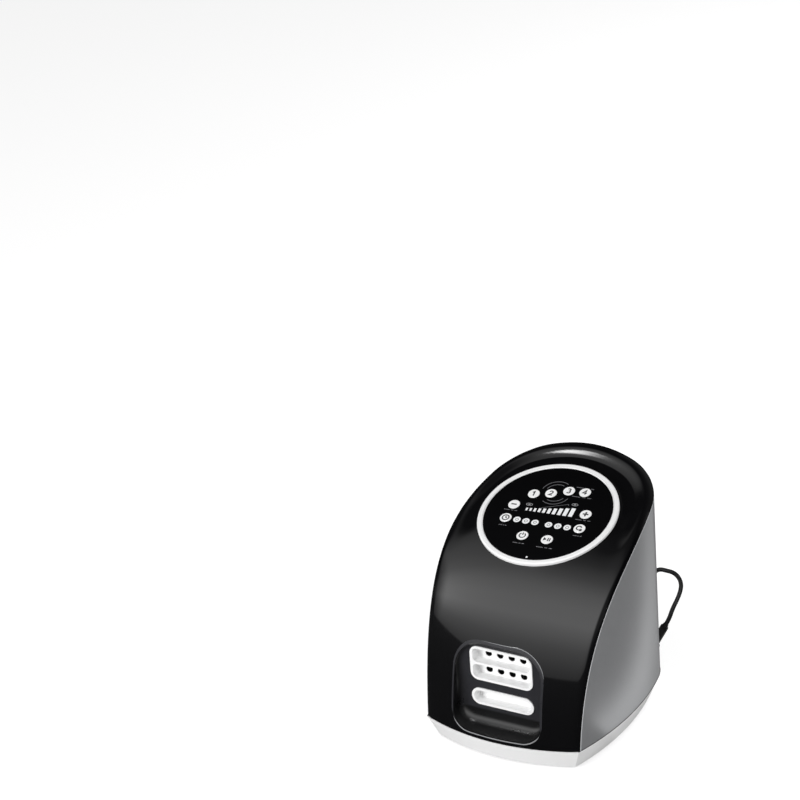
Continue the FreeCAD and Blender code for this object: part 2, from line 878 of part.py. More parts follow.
def key(u, v):
    """Round key: cap in the panel, flange that holds it in, stem above its switch."""
    cap = disc(key_radius, flange_top - overlap, key_proud, u, v)
    cap = cap.makeFillet(key_edge, [e for e in cap.Edges if abs(e.BoundBox.ZMin - key_proud) < tiny])
    flange = disc(key_radius + key_clearance + key_rim, flange_top - key_flange, flange_top, u, v)
    stem = disc(key_stem, stem_low, flange_top - key_flange + overlap, u, v)
    return on_dial(joined([cap, flange, stem]))


def key_board():
    board = disc(dial_radius - key_board_inset, board_high - board_thickness, board_high)
    holes = [disc(screw_radius + fit_gap, board_high - board_thickness - overcut, board_high + overcut, u, v)
             for u, v in bezel_posts]
    return on_dial(board.cut(holes))


def tact_switches():
    half = switch_side / 2
    return on_dial(group([
        Part.makeBox(switch_side, switch_side, switch_height, Vector(u - half, v - half, board_high))
        for u, v in key_places.values()]))


def status_leds():
    """Small lamps on the key board, one under each bar and lens."""
    spots = [spot for row in lens_rows for spot in row]
    for number in range(bar_count):
        middle = bar_box(number, 0, board_high, board_high + overcut).CenterOfMass
        spots.append((middle.x, middle.y))
    wide, deep, tall = led_size
    return on_dial(group([Part.makeBox(wide, deep, tall, Vector(u - wide / 2, v - deep / 2, board_high))
                          for u, v in spots]))


def key_board_screws():
    low = board_high - board_thickness
    return on_dial(group([
        disc(screw_head, low - screw_head_height, low, u, v).fuse(
            disc(screw_radius - fit_gap, low - overlap, post_bore_end - overlap, u, v))
        for u, v in bezel_posts]))


# ---------------------------------------------------------------- valve

valve_z = rim_top + sum(socket_rows) / len(socket_rows)
valve_rear = valve_y + valve_depth
motor_front = valve_rear + valve_cover_depth
chamber_front = valve_rear - chamber_depth


def valve_x_z(grow=0.0):
    half_w = valve_width / 2 + grow
    half_h = valve_height / 2 + grow
    return (-half_w, half_w), (valve_z - half_h, valve_z + half_h)


def distributor_body():
    """Manifold with a round valve chamber behind and one hose barb for each socket ahead."""
    xs, zs = valve_x_z()
    parts = [box(xs, (valve_y, valve_rear), zs)]
    for x, z in socket_places:
        parts.append(cylinder(barb_radius, (x, valve_y - barb_length, z), (x, valve_y + overcut, z)))
    inlet_y = valve_rear - valve_inlet_setback
    parts.append(cylinder(barb_radius, (xs[0] - barb_length, inlet_y, valve_z),
                          (xs[0] + overcut, inlet_y, valve_z)))
    body = joined(parts)
    body = body.cut(cylinder(chamber_radius, (0, chamber_front, valve_z),
                             (0, valve_rear + overcut, valve_z)))
    body = body.cut(cylinder(rotor_shaft + shaft_clearance, (0, chamber_front - shaft_seat, valve_z),
                             (0, valve_rear, valve_z)))
    for x, z in socket_places:
        body = body.cut(cylinder(barb_bore, (x, valve_y - barb_length - overcut, z),
                                 (x, valve_y + valve_gallery, z)))
    return body.cut(cylinder(barb_bore, (xs[0] - barb_length - overcut, inlet_y, valve_z),
                             (0, inlet_y, valve_z)))


def distributor_cover():
    xs, zs = valve_x_z()
    plate = box(xs, (valve_rear, motor_front), zs)
    plate = plate.cut(cylinder(rotor_shaft + shaft_clearance, (0, valve_rear - overcut, valve_z),
                               (0, motor_front + overcut, valve_z)))
    for x in (-motor_ear, motor_ear):
        plate = plate.cut(cylinder(screw_radius, (x, valve_rear - overcut, valve_z),
                                   (x, motor_front + overcut, valve_z)))
    return plate


def valve_rotor():
    """Disc with one timing port, on the shaft that the motor turns."""
    front = chamber_front + rotor_lift
    rotor = cylinder(chamber_radius - slip_gap, (0, front, valve_z), (0, front + rotor_thickness, valve_z))
    port_x = (chamber_radius + rotor_shaft) / 2
    port = cylinder(port_radius, (port_x, front - overcut, valve_z),
                    (port_x, front + rotor_thickness + overcut, valve_z))
    shaft = cylinder(rotor_shaft, (0, chamber_front - shaft_seat + rotor_lift, valve_z),
                     (0, motor_front + shaft_seat, valve_z))
    return rotor.cut(port).fuse(shaft).removeSplitter()


def valve_motor():
    body = cylinder(motor_radius, (0, motor_front, valve_z), (0, motor_front + motor_depth, valve_z))
    ears = box((-motor_ear - ear_round, motor_ear + ear_round), (motor_front, motor_front + ear_sheet),
               (valve_z - ear_round, valve_z + ear_round))
    motor = joined([body, ears])
    motor = motor.cut(cylinder(rotor_shaft + shaft_clearance, (0, motor_front - overcut, valve_z),
                               (0, motor_front + shaft_seat + rotor_lift, valve_z)))
    for x in (-motor_ear, motor_ear):
        motor = motor.cut(cylinder(screw_radius + fit_gap, (x, motor_front - overcut, valve_z),
                                   (x, motor_front + ear_sheet + overcut, valve_z)))
    return motor


def motor_screws():
    screws = []
    for x in (-motor_ear, motor_ear):
        seat = motor_front + ear_sheet
        head = cylinder(screw_head, (x, seat, valve_z), (x, seat + screw_head_height, valve_z))
        shank = cylinder(screw_radius - fit_gap, (x, valve_rear + slip_gap, valve_z),
                         (x, seat + overcut, valve_z))
        screws.append(head.fuse(shank))
    return group(screws)


def bracket_holes():
    x = valve_width / 2 + bracket_foot / 2
    return [(side * x, valve_y + valve_depth / 2) for side in (-1, 1)]


def valve_bracket():
    """Bent sheet-metal bridge that carries the valve above the tray's floor."""
    floor_top = foot_height + tray_floor
    low = valve_x_z()[1][0]
    half = valve_width / 2
    depth = (valve_y, valve_rear)
    sheet = bracket_sheet
    parts = [box((-half, half), depth, (low - sheet, low))]
    for side in (-1, 1):
        xs = sorted((side * half, side * (half - sheet)))
        parts.append(box(xs, depth, (floor_top, low)))
        xs = sorted((side * (half - sheet), side * (half + bracket_foot)))
        parts.append(box(xs, depth, (floor_top, floor_top + sheet)))
    bracket = joined(parts)
    for x, y in bracket_holes():
        bracket = bracket.cut(cylinder(screw_radius + fit_gap, (x, y, floor_top - overcut),
                                       (x, y, floor_top + sheet + overcut)))
    return bracket


def bracket_screws():
    low = foot_height + tray_floor + bracket_sheet
    return group([cylinder(screw_head, (x, y, low), (x, y, low + screw_head_height)).fuse(
        cylinder(screw_radius - fit_gap, (x, y, low - bracket_sheet), (x, y, low + overcut)))
        for x, y in bracket_holes()])


def outlet_hoses():
    start = barb_end - hose_seat
    end = valve_y - barb_length + hose_seat
    bore = barb_radius + fit_gap / 2
    return group([tube(bore + hose_wall, bore, (x, start, z), (x, end, z)) for x, z in socket_places])


# ---------------------------------------------------------------- compressor

pump_floor = foot_height + tray_floor + mount_height
mount_places = [(sx * mount_x, pump_y + sy * mount_y) for sx in (-1, 1) for sy in (-1, 1)]
head_inner = pump_half_length
head_outer = head_inner + head_length
piston_start = head_inner + piston_stroke + piston_clear


def rubber_mounts():
    low = foot_height + tray_floor
    return group([tube(mount_radius, screw_radius + fit_gap, (x, y, low), (x, y, pump_floor))
                  for x, y in mount_places])


def mount_screws():
    low = foot_height + tray_floor
    top = pump_floor + pump_sheet
    return group([cylinder(screw_head, (x, y, top), (x, y, top + screw_head_height)).fuse(
        cylinder(screw_radius - fit_gap, (x, y, low + overcut), (x, y, top + overcut)))
        for x, y in mount_places])


def along_x(radius, start, end):
    return cylinder(radius, (start, pump_y, pump_axis), (end, pump_y, pump_axis))


def compressor_frame():
    """Cast cradle: a plate on the mounts and two end walls with the rod's bearings."""
    length = pump_half_length
    plate = box((-length, length), (pump_y - pump_half_depth, pump_y + pump_half_depth),
                (pump_floor, pump_floor + pump_sheet))
    parts = [plate]
    for side in (-1, 1):
        xs = sorted((side * length, side * (length - pump_sheet)))
        parts.append(box(xs, (pump_y - end_wall_width / 2, pump_y + end_wall_width / 2),
                         (pump_floor, pump_axis + head_radius)))
    frame = joined(parts)
    frame = frame.cut(along_x(rod_radius + piston_gap, -length - overcut, length + overcut))
    for side in (-1, 1):
        for x, y, z in head_holes(side):
            start = x - side * (pump_sheet + overcut)
            frame = frame.cut(cylinder(screw_radius, (start, y, z), (x + side, y, z)))
    for x, y in mount_places:
        frame = frame.cut(cylinder(screw_radius + fit_gap, (x, y, pump_floor - overcut),
                                   (x, y, pump_floor + pump_sheet + overcut)))
    return frame


def head_holes(side):
    spread = head_radius - head_screw_inset
    return [(side * head_inner, pump_y + sy * spread, pump_axis + sz * spread)
            for sy in (-1, 1) for sz in (-1, 1)]


def pump_head(side):
    """Cylinder with a closed end and a square flange, bolted to one end wall."""
    head = along_x(head_radius - head_step, side * head_inner, side * head_outer)
    xs = sorted((side * head_inner, side * (head_inner + head_flange)))
    flange = box(xs, (pump_y - head_radius, pump_y + head_radius),
                 (pump_axis - head_radius, pump_axis + head_radius))
    head = joined([head, flange])
    bore_end = side * (head_outer - head_wall)
    head = head.cut(along_x(piston_radius + piston_gap, side * (head_inner - overcut), bore_end))
    for x, y, z in head_holes(side):
        head = head.cut(cylinder(screw_radius + fit_gap, (x - side, y, z),
                                 (x + side * (head_flange + overcut), y, z)))
    return head


def outlet_head(side):
    """The head that also carries the air outlet's barb."""
    z = pump_axis + outlet_rise
    barb = cylinder(barb_radius, (side * (head_outer - overcut), pump_y, z),
                    (side * (head_outer + barb_length), pump_y, z))
    head = joined([pump_head(side), barb])
    return head.cut(cylinder(barb_bore, (side * (head_outer - head_wall - overcut), pump_y, z),
                             (side * (head_outer + barb_length + overcut), pump_y, z)))


def head_screws():
    screws = []
    for side in (-1, 1):
        for x, y, z in head_holes(side):
            seat = x + side * head_flange
            head = cylinder(screw_head, (seat, y, z), (seat + side * screw_head_height, y, z))
            tip = x - side * (pump_sheet - overcut)
            shank = cylinder(screw_radius - fit_gap, (tip, y, z), (seat + side, y, z))
            screws.append(head.fuse(shank))
    return group(screws)


def armature():
    """Sliding rod with the magnet block between the coils."""
    reach = piston_start + piston_length / 2
    rod = along_x(rod_radius, -reach, reach)
    mx, my, mz = magnet_size
    block = box((-mx / 2, mx / 2), (pump_y - my / 2, pump_y + my / 2),
                (pump_axis - mz / 2, pump_axis + mz / 2))
    return joined([rod, block])


def pistons():
    discs = []
    for side in (-1, 1):
        start, end = side * piston_start, side * (piston_start + piston_length)
        piston = along_x(piston_radius, start, end)
        bore = along_x(rod_radius, start - side, side * (piston_start + piston_length / 2))
        discs.append(piston.cut(bore))
    return group(discs)


def magnet_parts(side):
    """One iron core with its winding, on one side of the armature."""
    face = magnet_size[1] / 2 + air_gap
    lx, ly, lz = core_leg
    zs = (pump_axis - lz / 2, pump_axis + lz / 2)
    leg = sorted((pump_y + side * face, pump_y + side * (face + ly)))
    yoke = sorted((pump_y + side * (face + ly), pump_y + side * (face + ly + core_yoke)))
    wide = lx / 2 + coil_wall + yoke_margin
    tall = lz / 2 + coil_wall
    yoke_z = (pump_floor + pump_sheet, pump_axis + tall)
    core = joined([box((-lx / 2, lx / 2), leg, zs), box((-wide, wide), yoke, yoke_z)])
    coil = box((-lx / 2 - coil_wall, lx / 2 + coil_wall), leg,
               (zs[0] - coil_wall, zs[1] + coil_wall))
    gap = fit_gap
    hole = box((-lx / 2 - gap, lx / 2 + gap), (leg[0] - overcut, leg[1] + overcut),
               (zs[0] - gap, zs[1] + gap))
    return core, coil.cut(hole)


def compressor_lid():
    """Pressed lid that rests on the cradle's end walls and closes round the coils."""
    half_x = pump_half_length - pump_sheet - slip_gap
    ys = (pump_y - pump_half_depth, pump_y + pump_half_depth)
    low = pump_floor + pump_sheet
    high = pump_axis + head_radius
    lid = box((-half_x, half_x), ys, (low, high))
    w = pump_lid_wall
    lid = lid.cut(box((-half_x + w, half_x - w), (ys[0] + w, ys[1] - w), (low - overcut, high - w)))
    slot = rod_radius + lid_rod_gap
    lid = lid.cut(box((-half_x - overcut, half_x + overcut), (pump_y - slot, pump_y + slot),
                      (low - overcut, pump_axis + slot)))
    for x, y in mount_places:
        lid = lid.cut(cylinder(screw_head + lid_notch_gap, (x, y, low - overcut),
                               (x, y, low + lid_notch_height)))
    return lid


# ---------------------------------------------------------------- tubes and leads

def rounded_path(points):
    """Straight runs joined by the largest arcs that both runs allow."""
    points = [Vector(*p) for p in points]
    edges = []
    radii = []
    start = points[0]
    for before, corner, after in zip(points, points[1:], points[2:]):
        into = (corner - before).normalize()
        out = (after - corner).normalize()
        turn = into.getAngle(out)
        reach = 0.45 * min((corner - before).Length, (after - corner).Length)
        radius = reach / math.tan(turn / 2)
        radii.append(radius)
        entry, leave = corner - into * reach, corner + out * reach
        inward = (out - into).normalize()
        deep = radius / math.cos(turn / 2) - radius
        edges.append(Part.LineSegment(start, entry).toShape())
        edges.append(Part.Arc(entry, corner + inward * deep, leave).toShape())
        start = leave
    edges.append(Part.LineSegment(start, points[-1]).toShape())
    return Part.Wire(edges), radii


def swept(points, radius, label):
    """Round tube along a path, with its tightest bend and its volume against its length."""
    path, radii = rounded_path(points)
    first = Vector(*points[1]) - Vector(*points[0])
    circle = Part.Wire(Part.makeCircle(radius, Vector(*points[0]), first))
    solid = path.makePipeShell([circle], True, False)
    expected = math.pi * radius ** 2 * path.Length
    print(label, "radii", [round(r, 1) for r in radii], "length", round(path.Length, 1),
          "volume share", round(solid.Volume / expected, 4))
    return solid, path.Length


def inlet_point(along):
    """A point on the inlet's axis, measured outward from the wall."""
    wall_y = quarter_centre.y + math.sqrt(quarter_radius ** 2 - (inlet_x - quarter_centre.x) ** 2)
    tilt = math.radians(inlet_tilt)
    return inlet_x, wall_y + along * math.cos(tilt), inlet_z + along * math.sin(tilt)


def power_inlet():
    collar = cylinder(inlet_radius, inlet_point(-inlet_inside), inlet_point(inlet_outside))
    bore_end = inlet_outside - plug_pin - inlet_seat
    return collar.cut(cylinder(jack_radius + fit_gap, inlet_point(bore_end),
                               inlet_point(inlet_outside + overcut)))


def power_plug():
    """Barrel plug pushed home in the inlet, with finger grooves near its cord end."""
    end = inlet_outside + plug_length
    grip = cylinder(plug_radius, inlet_point(inlet_outside), inlet_point(end))
    for number in range(plug_grooves):
        low = end - (number + 1) * groove_pitch
        places = inlet_point(low), inlet_point(low + groove_width)
        grip = grip.cut(tube(plug_radius + overcut, plug_radius - groove_depth, *places))
    pin = cylinder(jack_radius, inlet_point(inlet_outside - plug_pin), inlet_point(inlet_outside + overcut))
    return joined([grip, pin])


def cord_relief():
    """Soft cone that the lead comes out of, on the plug's end face."""
    base = inlet_outside + plug_length
    start = Vector(*inlet_point(base))
    axis = Vector(*inlet_point(base + relief_length)) - start
    return Part.makeCone(relief_radius, lead_diameter / 2 + relief_end, relief_length, start, axis)


def inlet_lead():
    inner = inlet_point(-inlet_inside)
    back = inlet_point(-inlet_inside - inlet_lead_run)
    aside, behind, above = inlet_lead_end
    end = (main_board_x - aside, main_board_y[1] + behind, main_board_z[0] + above)
    before = (end[0], end[1] + inlet_lead_bend[0], end[2] - inlet_lead_bend[1])
    return swept([inner, back, before, end], inlet_lead_radius, "inlet lead")[0]


def supply_hose():
    start = (-valve_width / 2 - barb_length + hose_seat, valve_rear - valve_inlet_setback, valve_z)
    end = (-head_outer - barb_length + hose_seat, pump_y, pump_axis + outlet_rise)
    reach = supply_inset - front_width / 2
    first, last = supply_bends
    route = [start, (reach + supply_turn, start[1], start[2]),
             (reach, start[1] + first[0], start[2] + first[1]),
             (reach - supply_bow, end[1] + last[0], end[2] + last[1]),
             (reach - supply_bow, end[1], end[2]), end]
    bore = barb_radius + fit_gap / 2
    outer = swept(route, bore + hose_wall, "supply hose")[0]
    inner = swept(route, bore, "supply hose bore")[0]
    return outer.cut(inner)


def ribbon_cable():
    """Flat cable from the key board down to the main board."""
    board = dial_place.multVec(Vector(ribbon_start, 0, board_high - board_thickness - fit_gap))
    drops = [board.z - drop for drop in ribbon_drops]
    points = [Vector(board.x, 0, drops[0]), Vector(board.x, 0, drops[1]),
              Vector(main_board_x - ribbon_offset, 0, drops[2]),
              Vector(main_board_x, 0, main_board_z[1] + ribbon_rise),
              Vector(main_board_x, 0, main_board_z[1] + overlap)]
    side = Vector(ribbon_thickness / 2, 0, 0)
    left = [p - side for p in points]
    right = [p + side for p in reversed(points)]
    face = Part.Face(Part.makePolygon(left + right + left[:1]))
    face.translate(Vector(0, board.y - ribbon_width / 2, 0))
    return face.extrude(Vector(0, ribbon_width, 0))


def main_board():
    return box((main_board_x - board_thickness / 2, main_board_x + board_thickness / 2),
               main_board_y, main_board_z)


board_face = main_board_x - board_thickness / 2


def on_board(corner, size):
    """A component on the inner face of the main board."""
    y = main_board_y[0] + corner[0]
    z = main_board_z[0] + corner[1]
    return box((board_face - size[0], board_face), (y, y + size[1]), (z, z + size[2]))


def board_parts():
    blocks = [relay, terminal_block, controller, dial_socket] + filter_chokes
    parts = [on_board(corner, size) for corner, size in blocks]
    for y, z in capacitor_places:
        spot = Vector(board_face, main_board_y[0] + y, main_board_z[0] + z)
        parts.append(Part.makeCylinder(capacitor_radius, capacitor_height, spot, Vector(-1, 0, 0)))
    return group(parts)


def pressure_sensor():
    body = on_board(*sensor_body)
    middle = body.CenterOfMass
    face = body.BoundBox.XMin
    port = cylinder(sensor_port_radius, (face + overcut, middle.y, middle.z),
                    (face - sensor_port_length, middle.y, middle.z))
    return joined([body, port])


def to_model(points):
    return [tuple(Vector(*p) - frame_shift) for p in points]


def power_cord():
    out, out_length = swept(to_model(lead_route), lead_diameter / 2, "cord to the coil")
    tail, tail_length = swept(to_model(tail_route), lead_diameter / 2, "cord to the adapter")
    turn = 2 * math.pi * (coil_inner + lead_diameter * coil_columns / 2)
    left = lead_length - out_length - tail_length
    print("cord left for the coil", round(left), "turns", round(left / turn, 2))
    return group([out, tail])


def cord_coil():
    centre = Vector(coil_centre[0], coil_centre[1], 0) - frame_shift
    outer = coil_inner + lead_diameter * coil_columns
    height = lead_diameter * coil_layers
    ring_solid = Part.makeCylinder(outer, height, centre).cut(
        Part.makeCylinder(coil_inner, height, centre))
    rims = [e for e in ring_solid.Edges if len(e.Vertexes) == 1]
    return ring_solid.makeFillet(lead_diameter / 2 - coil_edge, rims)


def power_adapter():
    """Plug-in power supply lying on its side, with the relief that its lead comes out of."""
    sx, sy, sz = adapter_size
    end = adapter_end - frame_shift.y
    body = box((adapter_x - sx / 2, adapter_x + sx / 2), (end - sy, end), (0, sz))
    body = body.makeFillet(adapter_edge, body.Edges)
    relief = Part.makeCone(adapter_relief_radius, lead_diameter / 2 + adapter_relief_end, adapter_relief,
                           Vector(adapter_x, end - overlap, sz / 2), Vector(0, 1, 0))
    return joined([body, relief])


def adapter_blades():
    """Two flat mains blades on the adapter's broad face, towards its far end."""
    sx, sy, sz = adapter_size
    middle = adapter_end - frame_shift.y - sy + blade_setback
    thick, reach, wide = blade_size
    blades = []
    for side in (-1, 1):
        x = adapter_x + side * blade_spacing / 2
        blades.append(box((x - thick / 2, x + thick / 2), (middle - wide / 2, middle + wide / 2),
                          (sz, sz + reach)))
    return group(blades)


def rubber_feet():
    return group([Part.makeCylinder(foot_radius, foot_height + foot_sink, place)
                  for place in foot_places()])


pieces = {
    "front_cover": front_cover,
    "rear_shell": rear_shell,
    "base_tray": base_tray,
    "rubber_feet": rubber_feet,
    "base_screws": base_screws,
    "intake_filter": intake_filter,
    "port_bay": port_bay,
    "outlet_block": outlet_block,
    "parking_slot": parking_slot,
    "dial_bezel": dial_bezel,
    "dial_panel": dial_panel,
    "level_bars": level_bars,
    "indicator_lenses": indicator_lenses,
    "key_board": key_board,
    "key_board_screws": key_board_screws,
    "tact_switches": tact_switches,
    "status_leds": status_leds,
    "ribbon_cable": ribbon_cable,
    "main_board": main_board,
    "board_parts": board_parts,
    "pressure_sensor": pressure_sensor,
    "distributor_body": distributor_body,
    "distributor_cover": distributor_cover,
    "valve_rotor": valve_rotor,
    "valve_motor": valve_motor,
    "motor_screws": motor_screws,
    "valve_bracket": valve_bracket,
    "bracket_screws": bracket_screws,
    "outlet_hoses": outlet_hoses,
    "supply_hose": supply_hose,
    "rubber_mounts": rubber_mounts,
    "mount_screws": mount_screws,
    "compressor_frame": compressor_frame,
    "compressor_lid": compressor_lid,
    "pump_head_right": lambda: pump_head(1),
    "pump_head_left": lambda: outlet_head(-1),
    "head_screws": head_screws,
    "armature": armature,
    "pistons": pistons,
    "magnet_cores": lambda: group([magnet_parts(side)[0] for side in (-1, 1)]),
    "magnet_coils": lambda: group([magnet_parts(side)[1] for side in (-1, 1)]),
    "power_inlet": power_inlet,
    "inlet_lead": inlet_lead,
    "power_plug": power_plug,
    "cord_relief": cord_relief,
    "power_cord": power_cord,
    "cord_coil": cord_coil,
    "power_adapter": power_adapter,
    "adapter_blades": adapter_blades,
}

for node, (u, v) in key_places.items():
    pieces[node] = lambda u=u, v=v: key(u, v)

for node, make in pieces.items():
    shape = make()
    save(node, shape)
    print(node, "solids", len(shape.Solids), "valid", shape.isValid(), "volume", round(shape.Volume))
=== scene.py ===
import json
import math

import bpy
from mathutils import Matrix, Vector


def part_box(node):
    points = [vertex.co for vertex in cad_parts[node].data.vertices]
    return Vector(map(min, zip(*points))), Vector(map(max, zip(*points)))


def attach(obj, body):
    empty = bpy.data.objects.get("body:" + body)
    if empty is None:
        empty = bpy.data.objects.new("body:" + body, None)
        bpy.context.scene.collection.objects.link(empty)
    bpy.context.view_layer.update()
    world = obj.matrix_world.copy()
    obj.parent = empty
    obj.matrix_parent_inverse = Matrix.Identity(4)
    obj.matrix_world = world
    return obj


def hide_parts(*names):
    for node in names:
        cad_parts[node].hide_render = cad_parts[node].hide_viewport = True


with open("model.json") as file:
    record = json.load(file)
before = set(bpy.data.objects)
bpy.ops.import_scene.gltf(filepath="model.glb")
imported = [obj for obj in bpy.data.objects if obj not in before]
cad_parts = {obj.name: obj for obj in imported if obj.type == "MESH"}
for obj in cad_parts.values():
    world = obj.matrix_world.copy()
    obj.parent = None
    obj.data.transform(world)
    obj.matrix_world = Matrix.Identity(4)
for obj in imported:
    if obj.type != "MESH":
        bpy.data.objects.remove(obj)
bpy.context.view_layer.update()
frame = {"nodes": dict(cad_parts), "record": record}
nodes = frame["nodes"]
mm = 0.001
print("frame loaded:", len(nodes), "nodes")


# camera

camera = {
    "place": (1.75038, -3.08104, 2.06756),
    "azimuth": 31.84,
    "elevation": 25.52,
    "roll": -3.81,
    "lens": 172.44,
    "sensor": 36.0,
    "reach": 30.0,
}


def turned(degrees, axis):
    return Matrix.Rotation(math.radians(degrees), 4, axis)


def newObject(name, data):
    item = bpy.data.objects.new(name, data)
    bpy.context.collection.objects.link(item)
    return item


def makeCamera():
    data = bpy.data.cameras.new("camera")
    data.lens = camera["lens"]
    data.sensor_width = camera["sensor"]
    data.clip_end = camera["reach"]
    item = newObject("camera", data)
    aim = turned(camera["azimuth"], "Z") @ turned(90 - camera["elevation"], "X")
    item.matrix_world = Matrix.Translation(camera["place"]) @ aim @ turned(camera["roll"], "Z")
    bpy.context.scene.camera = item


makeCamera()
print("camera placed")


# nodes and colours

def linear(hexColour):
    shares = [int(hexColour[i:i + 2], 16) / 255 for i in (1, 3, 5)]
    return [s / 12.92 if s <= 0.04045 else ((s + 0.055) / 1.055) ** 2.4 for s in shares] + [1.0]


def feed(tree, node, links):
    # a node given in place of a socket stands for its first output
    for name, source in links.items():
        tree.links.new(getattr(source, "outputs", [source])[0], node.inputs[name])


def addNode(tree, kind, settings=None, links=None):
    node = tree.nodes.new("ShaderNode" + kind)
    for name, value in (settings or {}).items():
        if isinstance(name, int) or name in node.inputs:
            node.inputs[name].default_value = value
        else:
            setattr(node, name, value)
    feed(tree, node, links or {})
    return node


def emptyMaterial(name):
    material = bpy.data.materials.new(name)
    material.use_nodes = True
    material.node_tree.nodes.clear()
    return material, material.node_tree


def newMaterial(name, settings):
    material, tree = emptyMaterial(name)
    shader = addNode(tree, "BsdfPrincipled", settings)
    addNode(tree, "OutputMaterial", None, {"Surface": shader})
    return material, tree, shader


def surfaceNoise(tree, size, detail=2.0, stretch=(1, 1, 1)):
    # noise whose features are about size millimetres across, fixed to the piece
    place = addNode(tree, "TexCoord")
    scaled = addNode(tree, "Mapping", {"Scale": stretch}, {"Vector": place.outputs["Object"]})
    noise = addNode(tree, "TexNoise", {"Scale": 1 / (size * mm), "Detail": detail},
                    {"Vector": scaled})
    return noise.outputs["Fac"]


noiseEnds = {"From Min": 0.3, "From Max": 0.7}  # nearly all of the noise lies between these


def newFinish(name, settings, pattern, tones, rough=None, relief=None, depth=0.0):
    # the pattern's noise shifts tone and roughness; the relief's noise stands depth mm high
    material, tree, shader = newMaterial(name, settings)
    shift = surfaceNoise(tree, *pattern)
    colours = {"data_type": "RGBA", 6: linear(tones[0]), 7: linear(tones[1])}
    fed = {"Base Color": addNode(tree, "Mix", colours, {0: shift}).outputs[2]}
    if rough:
        ends = {**noiseEnds, "To Min": rough[0], "To Max": rough[1]}
        fed["Roughness"] = addNode(tree, "MapRange", ends, {"Value": shift})
    if relief:
        height = surfaceNoise(tree, *relief)
        fed["Normal"] = addNode(tree, "Bump", {"Distance": depth * mm}, {"Height": height})
    feed(tree, shader, fed)
    return material


# finishes of what is seen; sizes of noise and depths of relief are in millimetres

# ABS moulded in a polished tool: deep black, with a faint ripple in what it mirrors
coverBlack = newFinish("pianoBlackAbs", {"IOR": 1.5}, (28.0, 3.0), ("#050506", "#08080a"),
                       (0.05, 0.08), (6.0, 1.0), 0.004)

# black back-printed acrylic sheet: flat, very clear gloss
panelBlack = newFinish("smokedAcrylic", {"IOR": 1.49, "Specular IOR Level": 0.25}, (18.0, 3.0),
                       ("#020203", "#040405"), (0.05, 0.09))

# extruded PVC sheath: dull black with faint drag marks
cordBlack = newFinish("softPvc", {"IOR": 1.53}, (2.5, 3.0), ("#0b0b0c", "#151516"),
                      (0.38, 0.52), (2.5, 3.0), 0.02)


def silverPaintedAbs():
    # ABS with silver basecoat: even satin grey with fine flakes, drawn coarse enough to show
    material, tree, shader = newMaterial("silverPaintedAbs",
                                         {"Metallic": 0.5, "IOR": 1.5, "Roughness": 0.3})
    flakes = surfaceNoise(tree, 0.7, 2.0)
    cloud = surfaceNoise(tree, 45.0, 2.0)
    mixed = addNode(tree, "Math", {"operation": "MULTIPLY_ADD", 1: 0.35}, {0: cloud, 2: flakes})
    share = addNode(tree, "MapRange", noiseEnds, {"Value": mixed})
    tone = addNode(tree, "Mix", {"data_type": "RGBA", 6: linear("#a0a1a3"),
                                 7: linear("#abacae")}, {0: share})
    bump = addNode(tree, "Bump", {"Distance": 0.006 * mm}, {"Height": flakes})
    feed(tree, shader, {"Base Color": tone.outputs[2], "Normal": bump})
    return material


def mouldedAbs(name, low, high, gloss):
    # ABS moulded in a blasted tool: one clean tone, its satin grain drawn coarse enough to show
    return newFinish(name, {"IOR": 1.5}, (20.0, 3.0), (low, high), (gloss - 0.01, gloss + 0.01),
                     (0.5, 2.0), 0.004)


# the bay's face and its painted shade: near black on walls turned aside and below the foot line,
# in mm; blend softens the step
bayFace = {
    "foot": 48.5,
    "blend": 1.2,
    "turnsAside": (-0.95, -0.5),  # y of the normal where the face ends and where the painted shade on the walls is full
    "tones": [("#262629", "#2e2e32"), ("#09090a", "#0e0e0f")],  # on the face, and the painted shade off it
}


def satinBlackPaintedShadeAbs():
    # black ABS, its face dark grey with a grain drawn coarse enough to show; painted shade turns
    # it near black on walls turned aside and below the foot line
    material, tree, shader = newMaterial("satinBlackPaintedShadeAbs", {"IOR": 1.5})
    cloud = surfaceNoise(tree, 16.0, 3.0)
    shape = addNode(tree, "NewGeometry")
    facing = addNode(tree, "SeparateXYZ", None, {0: shape.outputs["Normal"]})
    place = addNode(tree, "SeparateXYZ", None, {0: shape.outputs["Position"]})
    foot = [(bayFace["foot"] + side * bayFace["blend"]) * mm for side in (1, -1)]
    beside, below = [addNode(tree, "MapRange", {"From Min": ends[0], "From Max": ends[1]},
                             {"Value": source})
                     for source, ends in ((facing.outputs["Y"], bayFace["turnsAside"]),
                                          (place.outputs["Z"], foot))]
    # painted shade: full on walls turned aside and below the foot line
    paintedShadeShare = addNode(tree, "Math", {"operation": "MAXIMUM"}, {0: beside, 1: below})
    on, off = [addNode(tree, "Mix", {"data_type": "RGBA", 6: linear(low), 7: linear(high)},
                       {0: cloud}).outputs[2] for low, high in bayFace["tones"]]
    tone = addNode(tree, "Mix", {"data_type": "RGBA"}, {0: paintedShadeShare, 6: on, 7: off})
    rough = addNode(tree, "MapRange", {**noiseEnds, "To Min": 0.26, "To Max": 0.34},
                    {"Value": cloud})
    bump = addNode(tree, "Bump", {"Distance": 0.002 * mm},
                   {"Height": surfaceNoise(tree, 0.5, 2.0)})
    feed(tree, shader, {"Base Color": tone.outputs[2], "Roughness": rough, "Normal": bump})
    return material


def screenInk(name, low, high):
    # screen-printed ink: matt, slightly uneven in thickness
    return newFinish(name, {"Roughness": 0.5, "IOR": 1.45}, (0.8, 3.0), (low, high))


